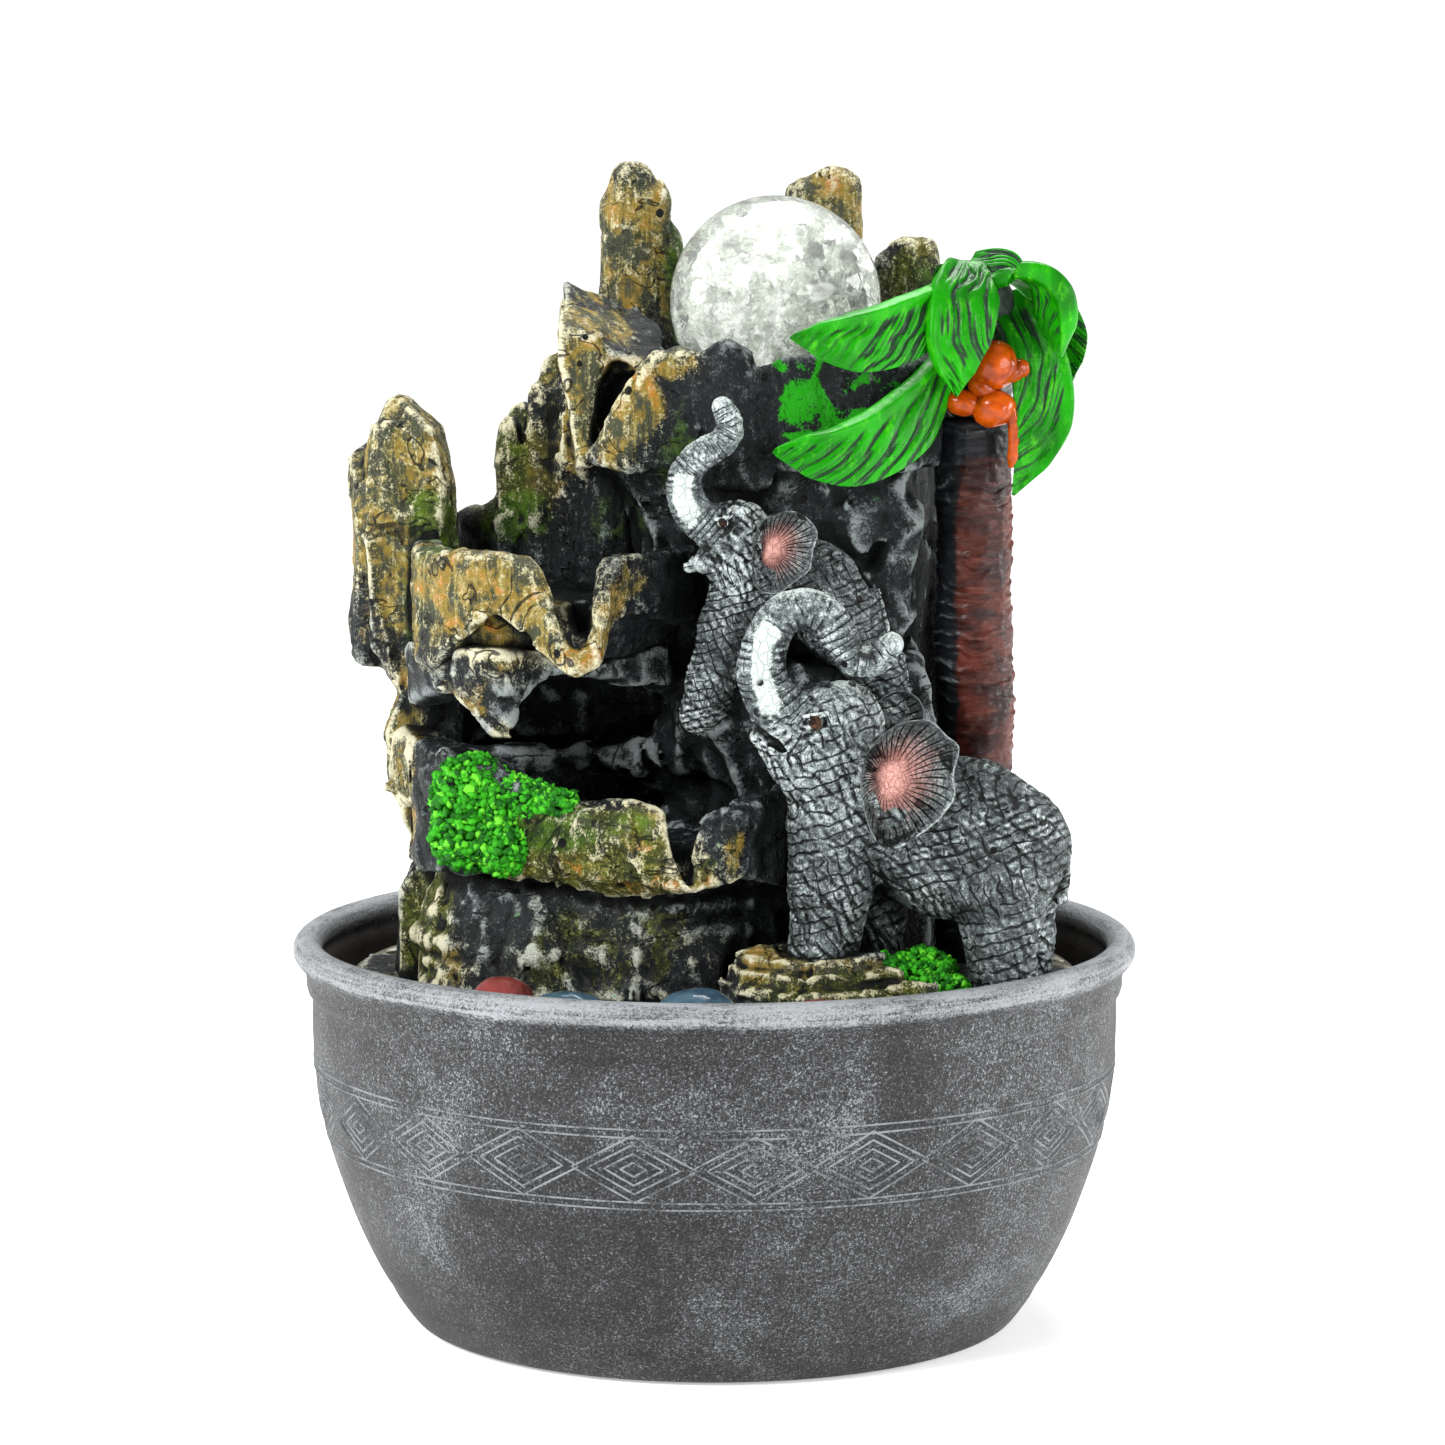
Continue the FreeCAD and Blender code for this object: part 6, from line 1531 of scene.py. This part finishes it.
# each spot is (x, y, z, reach in x, y and z, strength)
WARM = [(-72, 0, 190, 14, 16, 34, 1.2), (-72, 0, 155, 12, 16, 14, 0.7), (-73, -14, 130, 8, 14, 14, 1.0),
    (-33, -12, 222, 6, 16, 22, 1.3), (-29, -6, 236, 12, 12, 5, 1.2), (-21, -22, 217, 9, 10, 12, 1.0),
    (-10, -22, 228, 9, 8, 5, 0.7), (-46, -46, 176, 22, 14, 14, 1.05), (-65, -30, 175, 7, 16, 14, 1.0),
    (-31, -54, 166, 9, 10, 12, 1.1), (-20, -42, 182, 8, 8, 5, 0.5), (-56, -38, 155, 7, 8, 6, 0.5),
    (-49, -40, 146, 3.5, 8, 4.5, 0.7), (-36, -60, 113, 28, 12, 5, 0.9), (-16, -63, 124, 8, 10, 9, 0.8),
    (4, -61, 119, 2.5, 8, 7, 0.8), (-6, -67, 113, 5, 6, 4, 1.2), (-12, -65, 122, 8, 8, 10, 0.8),
    (-60, -34, 90, 8, 12, 6, 0.7), (-44, 8, 205, 14, 12, 20, 0.5), (-33, 8, 235, 7, 10, 10, 0.9),
    (-20, 30, 255, 11, 16, 24, 0.8), (27, 46, 262, 12, 14, 14, 0.9), (48, 33, 252, 7, 12, 6, 0.7),
    (20, -66, 94, 22, 14, 6, 0.75), (0, 0, 82, 95, 95, 4, 0.55), (0, 56, 150, 50, 12, 60, 0.25)]
OLIVE_WASH = [(-30, -62, 117, 26, 12, 12, 1.2), (-50, 11, 205, 8, 10, 18, 1.0),
    (-40, 8, 205, 6, 8, 24, 0.6), (-28, -54, 96, 34, 12, 12, 0.55), (-68, -24, 96, 10, 14, 16, 1.1),
    (30, -74, 90, 30, 12, 6, 0.8), (-70, -14, 122, 8, 10, 14, 0.4), (48, 33, 240, 10, 12, 16, 0.9),
    (60, 16, 82, 30, 40, 4, 0.3), (-74, 4, 145, 8, 10, 8, 0.5)]
GREEN_WASH = [(-65, -8, 188, 6, 12, 11, 1.3), (-67, -12, 170, 7, 10, 14, 1.2),
    (-62, -30, 184, 5, 12, 4, 1.0), (-47, 6, 190, 9, 14, 8, 0.9), (-49, 8, 204, 5, 10, 12, 0.5),
    (-6, -18, 208, 9, 12, 12, 0.8), (-7, 32, 246, 7, 14, 22, 0.9), (-47, -52, 124, 9, 10, 8, 1.0),
    (-37, -62, 123, 13, 10, 5, 0.95), (-20, -64, 126, 10, 10, 4, 0.6), (-34, -60, 126, 8, 8, 4, 0.7),
    (-74, 0, 144, 6, 10, 6, 0.6), (-20, -4, 192, 14, 14, 10, 0.5), (-40, -44, 132, 10, 10, 6, 0.6),
    (51, 34, 238, 6, 12, 14, 0.8), (18, -52, 96, 6, 6, 6, 0.6)]
LEAF_SPLASH = [(20.5, -26, 221, 5.2, 6, 7.5, 0.9), (26, -26, 219, 1.3, 6, 11, 1.2),
    (17, -26, 229, 8, 6, 2, 0.8), (30, -26, 213, 6, 8, 4, 0.8), (22, -26, 211.5, 6, 6, 2, 0.9),
    (-44, -54, 122, 5, 6, 7, 0.5), (38, -26, 222, 8, 7, 3, 0.5)]


def wash(points, spots):
    """How strongly a wash lies at each point: the strongest of its spots, each fading smoothly with
    distance, with wavering edges."""
    waver = points + 3.5 * np.stack([noise(points, 9, 400 + n) for n in range(3)], -1)
    total = np.zeros(len(points))
    for x, y, z, rx, ry, rz, strength in spots:
        off = (((waver - (x, y, z)) / (rx, ry, rz)) ** 2).sum(-1)
        total = np.maximum(total, strength * np.exp(-(off**1.5) * 0.7))
    return total


def shade(coarse, verts, out, reaches=(2.5, 5, 10, 18)):
    """How shut in each point is: how much nearer the surrounding stone is, some way out, than it would be
    in the open. The paint lays it on as painted shade."""
    total = 0.0
    for reach in reaches:
        open_air = held(coarse.at((verts + out * reach).astype(np.float32)) / reach)
        total = total + (1 - open_air)
    return total / len(reaches)


def rock_marks(coarse, verts, faces):
    """The marks that the stone's paint reads."""
    out = normals(verts, faces)
    p = verts.astype(np.float32)
    small = bulge(verts, faces, 3, 0.3)
    wide = bulge(verts, faces, 20, 1.5)
    # how shut in each point is, which the paint shows as painted shade
    closed = shade(coarse, verts, out)
    # the pale ridge brush is kept out of shut-in places, and the hollow mark is painted shade there added
    # to the creases of the relief
    edge = np.clip(0.75 * small + 0.8 * wide - 0.1, -1, 1.3) * held(1.5 - 1.5 * closed)
    hollow = held(1.6 * (closed - 0.36)) + np.clip(-0.8 * small - 0.7 * wide - 0.08, 0, 0.8)
    marks = {"edge": np.clip(edge, 0, 1.3), "hollow": np.clip(hollow, 0, 1.2)}
    washes = (("warm", WARM), ("olive", OLIVE_WASH), ("green", GREEN_WASH), ("leaf", LEAF_SPLASH))
    marks.update({name: wash(p, spots) for name, spots in washes})
    return marks


def elephant_marks(coarse, verts, faces, trunk, eye, reach, tight):
    """The marks that the elephants' paint reads: a white stripe up the front of the trunk, the eye, and how
    many wrinkles there are so far along the trunk or up the body, and across it."""
    out = normals(verts, faces)
    small = bulge(verts, faces, 3, 0.12)
    wide = bulge(verts, faces, 26, 1.0)
    # how shut in each point is, which the paint shows as painted shade
    closed = shade(coarse, verts, out)
    place, off = along(verts.astype(np.float32), trunk)
    head = held((32 * tight - off) / (16 * tight))
    raised = 0.22 + 0.5 * small + 0.4 * wide + 0.2 * head - 0.12 * (off < 7)
    # the pale ridge brush is kept out of shut-in places, and the hollow mark is painted shade there added
    # to the creases
    edge = np.clip(raised, 0, 1.3) * held(1.5 - 1.4 * closed)
    hollow = held(1.6 * (closed - 0.38)) + held(-1.1 * small - 0.2 * wide - 0.1)
    facing = held(-out[:, 1] * 1.5)
    track = np.array(trunk)[:, :3]
    runs = lengths(track)
    middle = np.interp(place, runs, track[:, 0])
    length = runs[-1]
    band = held(1 - np.abs(verts[:, 0] - middle + 0.6) / 3.6) * (place < 0.46 * length)
    crest = held(out[:, 2] * 1.3 - 0.25) * (place > 0.36 * length)
    onset = held((place - 0.13 * length) / 3)
    white = np.where(off < 7.5, np.maximum(1.3 * band * facing, 0.62 * crest) * onset, 0)
    ball = np.linalg.norm(verts - eye, axis=1) < reach
    trunk_share = held(2.4 - off / 4.5)
    level = (verts[:, 2] - 0.3 * verts[:, 0]) / (3.0 * tight)
    upright = (verts[:, 0] + 0.4 * verts[:, 2] - 0.25 * verts[:, 1]) / (3.1 * tight)
    ring = np.where(trunk_share > 0.5, place / (1.9 * tight), level)
    fold = np.where(trunk_share > 0.5, 0.0, upright) + 0.25
    marks = {"edge": edge, "hollow": np.clip(hollow, 0, 1.2), "white": white, "pink": 0 * white}
    marks.update({"eye": ball * 1.0, "ring": ring, "fold": fold})
    return marks


def coarse_copy(clays):
    """One rough block that holds all the stones and elephants, for working out what is shut in, which the
    paint darkens as painted shade.
    """
    coarse = Clay((-96, -88, 74), (92, 72, 278), 2.0)
    grid = np.stack(np.meshgrid(*coarse.axes, indexing="ij"), -1)
    for clay in clays:
        spans = []
        for axis, values in zip(coarse.axes, clay.axes):
            first, last = np.searchsorted(axis, (values[0], values[-1]))
            spans.append(slice(first, last))
        spans = tuple(spans)
        points = grid[spans].reshape(-1, 3)
        field = clay.at(points).reshape(grid[spans].shape[:3])
        coarse.field[spans] = np.minimum(coarse.field[spans], field)
    floor = grid[..., 2] - 83.0
    coarse.field = np.minimum(coarse.field, floor)
    return coarse


# ------------------------------------------------------------------ putting it together


def add_rocks():
    """Every stone of the rockery and both elephants, cast from clay."""
    spires = {
        "left_spire": spire_clay((-40, 14, 196), (4, 50, 276),
                                 [(-23, 31, 200, 266, 8, 4, 0.5), (-19.5, 30, 200, 272.6, 9, 4.4, 0),
                                     (-14.5, 31, 200, 268, 9, 4.4, -1),
                                     (-8.5, 33, 200, 256.5, 6, 2.4, -2), (-19, 37, 200, 262, 11, 6, 0)],
                                 181),
        "rear_spire": spire_clay((8, 32, 196), (48, 62, 275),
                                 [(22, 46, 200, 268.5, 7, 4, -0.5), (27.5, 46, 200, 271.5, 9, 4, 0),
                                     (32.5, 46, 200, 270, 7, 3.4, -0.5), (28, 50, 200, 264, 9, 5, 0)], 184),
        "right_spire": spire_clay((30, 16, 196), (66, 50, 262),
                                  [(42.5, 31, 200, 251.5, 6, 3, -0.5), (46.5, 31, 200, 255.4, 7, 3, 0),
                                      (51, 32, 200, 255, 6.5, 2.8, 0), (48, 37, 200, 250, 9, 5, 0)], 187),
    }
    stones = {
        "cliff_rock": (cliff_clay(), ("rock_wall", "cliff_foot", "calf_boulder")),
        "upper_tray": (upper_clay(), ("upper_basin",)),
        "middle_tray": (middle_clay(), ("middle_basin",)),
        "lower_tray": (lower_clay(), ("lower_basin",)),
        "left_stone": (pillar_clay(), ("left_pillar",)),
        "stepped_flutes": (columns_clay(), ("stepped_columns",)),
        "elephant_ledge": (slab_clay(), ("elephant_slab",)),
        "floor_stone": (deck_clay(), ()),
    }
    for name, clay in spires.items():
        stones[name + "_stone"] = (clay, (name,))
    adult, calf = adult_clay(), calf_clay()
    coarse = coarse_copy([clay for clay, _ in stones.values()] + [adult, calf])
    paint = rock_paint()
    for name, (clay, nodes) in stones.items():
        verts, faces = clay.skin()
        verts = 0.5 * verts + 0.5 * averaged(verts, faces, 1)
        slot = "deck_resin" if name == "floor_stone" else "rock_resin"
        surface = verts, faces, rock_marks(coarse, verts, faces)
        make_piece(name, surface, "rockery", slot, nodes, paint)
    skin = elephant_paint()
    for name, clay, trunk, eye, reach, tight in (
        ("adult_elephant_skin", adult, ADULT_TRUNK, (22.6, -66, 150.3), 1.6, 1.0),
        ("calf_elephant_skin", calf, CALF_TRUNK, (1.9, -43, 192.9), 1.1, 0.72),
    ):
        verts, faces = clay.skin()
        verts = 0.6 * verts + 0.4 * averaged(verts, faces, 1)
        marks = elephant_marks(coarse, verts, faces, trunk, eye, reach, tight)
        node = name.replace("_skin", "")
        make_piece(name, (verts, faces, marks), "rockery", "elephant_resin", (node,), skin)
    near = [(32.6, 134.6), (32.8, 140.5), (35.5, 146.5), (40, 150.6), (44.6, 152.2), (48.4, 152),
        (51.6, 148.5), (54.6, 145.2), (53.4, 139.5), (53.6, 134), (50.4, 129.4), (45.6, 125.6),
        (41.2, 122.6), (37.2, 123.2), (34.4, 127.6)]
    far = [(34, 142), (36, 150), (42, 154), (47, 152), (48, 146), (44, 140), (38, 136)]
    small = [(8.4, 184.6), (9.2, 190.6), (12, 194.6), (16.4, 196), (20.6, 194.8), (23.4, 191),
        (22.4, 186.6), (21.6, 182.4), (18, 179.4), (13.4, 176.8), (9.2, 178.8)]
    pieces = (("adult_near_ear", near, (38.5, 137.5), -69.2, 2.8, 1.8, 501, 3.4),
              ("calf_near_ear", small, (12.5, 186.5), -42.5, 2.2, 1.5, 503, 1.2),
              ("adult_far_ear", far, (37, 143), -36, 1.6, 1.6, 502, 0.5))
    for name, outline, root, y, depth, thick, seed, fold in pieces:
        verts, faces, marks = ear_surface(outline, root, y, depth, thick, seed, fold)
        small_bulge = bulge(verts, faces, 4, 0.2)
        marks["edge"] = held(0.35 + 0.6 * small_bulge)
        marks["hollow"] = held(0.75 * marks["hollow"] - 0.5 * small_bulge)
        marks.update({"ring": 0 * small_bulge + 0.25, "fold": 0 * small_bulge + 0.25})
        nodes = {"adult_near_ear": ("adult_ears",), "calf_near_ear": ("calf_ear",)}.get(name, ())
        make_piece(name, (verts, faces, marks), "rockery", "ear_resin", nodes, skin)


def add_bowl():
    """The bowl, and the raised lines of its band."""
    place = ("bowl", "bowl_resin")
    line = line_paint()
    make_piece("bowl_shell", bowl_surface(), *place, ("bowl",), bowl_paint())
    make_piece("bowl_rhombi", strips(rhombus_lines(), True, 0.5, 0.3), *place, (), line)
    make_piece("bowl_rails", rail_rings(), *place, (), line)


# each leaf: its spine, its widths, the way across it, the edge that its rib is on and the slant of its
# furrows
FRONDS = {
    "upper_left": ([(57, -15, 244), (45, -31, 237), (32, -39, 234), (17, -43, 235)], [9, 15, 14, 4],
                   (0, 0.35, 1), 1, 0.8),
    "lower_left": ([(55, -16, 229), (46, -30, 216), (31, -41, 208.6), (13.2, -46, 209.3)], [9, 16, 15, 6],
                   (0, 0.3, 1), 1, 0.4),
    "front": ([(58, -14, 251), (57, -25, 244), (55.5, -29, 233), (55.5, -27.5, 220.5)], [9, 17, 15.5, 3],
              (1, 0, 0), -1, 0.08),
    "upper_right": ([(59, -10, 250), (69, -15, 248.5), (76.5, -18, 242), (80, -18, 229)], [9, 16, 17, 5],
                    (-1, 1, 0.6), -1, 0.6),
    "lower_right": ([(67, -9, 243), (75, -15, 230), (76.5, -17, 214), (69.3, -16, 197)], [9, 15, 16, 4],
                    (1, 0.6, 0.3), 1, 0.35),
    "back": ([(60, 2, 250), (60, 14, 247), (58, 25, 238), (56, 31, 226)], [8, 15, 14, 3], (1, 0, 0), 1,
             0.3),
    "back_right": ([(66, 0, 249), (76, 8, 244), (83, 14, 233), (85, 17, 221)], [8, 14, 13, 3],
                   (-1, 1, 0.3), 1, 0.4),
}


def add_palm():
    """The palm: its trunk, its leaves, the dark heart they grow from, and the nuts with their drip."""
    verts, faces, marks = trunk_surface()
    p = verts.astype(np.float32)
    # the black mark: darker down the front left side, at the foot and under the crown
    left = held((58.8 - verts[:, 0]) / 4) * held((-verts[:, 1] + 3) / 6)
    low = held((128 - verts[:, 2]) / 10)
    high = held((verts[:, 2] - 203) / 6)
    marks["black"] = np.clip(left + 0.8 * low + high + 0.25 * noise(p, 10, 310), 0, 1.2)
    bark = verts, faces, marks
    make_piece("palm_bark", bark, "rockery", "trunk_paint", ("palm_trunk",), trunk_paint())
    leaf = leaf_paint()
    for n, (name, (spine, widths, side, rib, slant)) in enumerate(FRONDS.items()):
        surface = frond_surface(spine, widths, side, 320 + n, rib, slant)
        make_piece("frond_" + name + "_leaf", surface, "rockery", "leaf_paint", ("frond_" + name,), leaf)
    crown = joined([ball_surface(c, r, lambda p: 0.8 * noise(p, 5, 340) + 0.4 * noise(p, 2, 341))
                    for c, r in (((60.5, -6.5, 226), (9.6, 9.6, 13)), ((60.5, -8, 242), (9.2, 9.2, 9)))])
    dark = plain_paint("crown_paint", (0.02, 0.024, 0.024), (0.06, 0.075, 0.07), 0.35, 260, 0.0006, 0.3,
                       (0.03, 0.25, 0.01))
    make_piece("palm_heart", crown, "rockery", "trunk_paint", ("palm_crown",), dark)
    nut = plain_paint("nut_paint", (0.24, 0.030, 0.001), (0.47, 0.072, 0.001), 0.22, 180, 0.0003, 0.25)
    lump = lambda p: 0.35 * noise(p, 3.5, 350) + 0.15 * noise(p, 1.4, 351)
    nuts = [((64.5, -19.5, 227.4), (5.4, 5.2, 5.8)), ((57.6, -19, 218.7), (4.4, 3.4, 3.0)),
            ((64.5, -19, 217.4), (5.3, 4.8, 4.4)), ((70.4, -17.5, 226.7), (2.6, 2.4, 2.2)),
            ((62, -19, 222.4), (3.4, 3.2, 3.4)), ((68.4, -18.5, 225.5), (2.8, 2.6, 2.2))]
    parts = [ball_surface(c, r, lump, 36, 50) for c, r in nuts]
    drip = smooth([(67.6, -19.5, 218), (69, -19.4, 213.5), (69.2, -19, 208.4), (68.6, -18.6, 203.6)], 10)
    share = np.linspace(0, 1, len(drip))
    tube = tube_surface(drip, np.interp(share, (0, 0.3, 0.85, 1), (2.0, 1.3, 1.3, 0.5)), 14)
    parts.append((tube[0], facing_out(*tube)))
    make_piece("palm_nuts", joined(parts), "rockery", "nut_paint", ("coconuts",), nut)
    spot = ball_surface((5.9, -28.4, 222.7), (0.95, 0.6, 0.9), lambda p: 0.1 * noise(p, 1, 352), 14, 20)
    make_piece("red_paint_spot", spot, "rockery", "nut_paint", (), nut)


def add_moss():
    """The two patches of moss: one hangs over the lower tray, one lies beside the adult's slab."""
    paint = moss_paint()
    ledge = [(-55, -47, 131, 9.5, 7, 9.5), (-56, -47, 122, 8.5, 6.5, 8), (-47, -49, 130, 7, 5.5, 6.5),
        (-48, -51, 121, 6, 5, 7.5), (-41, -52, 130.5, 6, 4, 4.5), (-35.5, -55.5, 130.8, 4.5, 3, 3)]
    tufts = moss_surface(ledge, 0.95, 3.0, 61)
    make_piece("ledge_moss", tufts, "rockery", "moss_flock", ("moss_ledge",), paint)
    ground = [(44, -60, 90, 8, 6, 4.2), (51, -60, 88.5, 7, 6, 3.8), (38, -60, 92.5, 5, 5, 4.2),
        (47, -55, 92, 8, 6, 5)]
    tufts = moss_surface(ground, 0.8, 3.2, 62)
    make_piece("ground_moss", tufts, "rockery", "moss_flock", ("moss_ground",), paint)


def add_ball():
    """The crackle ball: clear glass, and the cracks inside it."""
    ball = ball_surface(BALL_CENTRE, 24.93, lambda p: 0.06 * noise(p, 6, 360), 120, 180)
    make_piece("crackle_ball", ball, "ball", "crackle_glass", ("glass_ball",), crackle_glass())
    flakes = flake_surface(BALL_CENTRE, 22.8, 1000, 63)
    make_piece("ball_cracks", flakes, "ball", "crackle_glass", (), crack_flakes(), smooth=False)


def add_pebbles():
    """The four loose pebbles, each made to fill its CAD solid's box."""
    red = plain_paint("red_pebble_paint", (0.10, 0.018, 0.016), (0.24, 0.045, 0.04), 0.16, 160, 0.0004,
                      0.8, (0.34, 0.16, 0.14))
    blue = plain_paint("blue_pebble_paint", (0.025, 0.055, 0.085), (0.06, 0.115, 0.16), 0.16, 160, 0.0004,
                       0.8, (0.12, 0.17, 0.20))
    for n, place in enumerate(("red_left", "blue_left", "blue_centre", "red_right")):
        name = "pebble_" + place
        low, high = (np.array(corner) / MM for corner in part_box(name))
        middle, half = (low + high) / 2, (high - low) / 2
        relief = lambda p, n=n: 0.5 * noise(p, 7, 370 + n) + 0.2 * noise(p, 2.4, 375 + n) - 0.45
        slot, paint = ("red_pebble", red) if "red" in name else ("blue_pebble", blue)
        make_piece(name + "_stone", ball_surface(middle, half, relief), "pebbles", slot, (name,), paint)


def paint_nodes():
    """Finishes for the CAD nodes that stay as they are."""
    black = plain_paint("black_plastic_moulded", (0.012, 0.012, 0.013), (0.022, 0.022, 0.024), 0.42, 700,
                        0.0001)
    clear = Finish("lens_clear")
    clear.set(**{"Base Color": rgb(0.95, 0.97, 1.0), "Roughness": 0.08})
    clear.set(**{"IOR": 1.49, "Transmission Weight": 1.0})
    clear.set(Normal=clear.bump(clear.noise(600, 2), 0.0001, 0.5))
    ferrite = plain_paint("rotor_ferrite_ground", (0.03, 0.03, 0.032), (0.07, 0.068, 0.07), 0.5, 1200,
                          0.0001)
    steel = Finish("axle_steel_drawn")
    lay = steel.noise(1.0, 3, 0.6, steel.stretched((60, 2500, 2500)))
    steel.set(**{"Base Color": steel.mix(lay, rgb(0.5, 0.5, 0.52), rgb(0.72, 0.72, 0.74)), "Metallic": 1.0})
    steel.set(**{"Roughness": 0.2 + 0.2 * lay, "Normal": steel.bump(lay, 0.00003, 0.6)})
    rubber = plain_paint("sucker_rubber_soft", (0.02, 0.02, 0.02), (0.045, 0.043, 0.042), 0.62, 500, 0.0001)
    hose = Finish("hose_clear")
    milk = hose.noise(180, 3)
    cloudy = hose.mix(milk, rgb(0.72, 0.76, 0.74), rgb(0.9, 0.93, 0.92))
    hose.set(**{"Base Color": cloudy, "Roughness": 0.2 + 0.15 * milk})
    hose.set(**{"Transmission Weight": 0.85, "IOR": 1.43, "Normal": hose.bump(milk, 0.0001, 0.5)})
    cup = plain_paint("cup_resin", (0.04, 0.045, 0.045), (0.14, 0.15, 0.145), 0.45, 240, 0.0004, 0.15)
    deck = plain_paint("deck_resin_cast", (0.05, 0.055, 0.05), (0.16, 0.14, 0.09), 0.5, 120, 0.0006, 0.1)
    finishes = {
        black: "light_housing pump_housing chamber_plate pump_strainer flow_knob light_lead",
        rubber: "pump_gland axle_bush suction_cups",
        clear: "light_lenses",
        ferrite: "impeller",
        steel: "rotor_axle",
        hose: "water_tube",
        cup: "ball_cup",
        deck: "rock_deck",
    }
    for finish, names in finishes.items():
        for name in names.split():
            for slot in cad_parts[name].material_slots:
                slot.material = finish.material


set_camera()
set_studio()
add_bowl()
add_rocks()
add_palm()
add_moss()
add_ball()
add_pebbles()
paint_nodes()
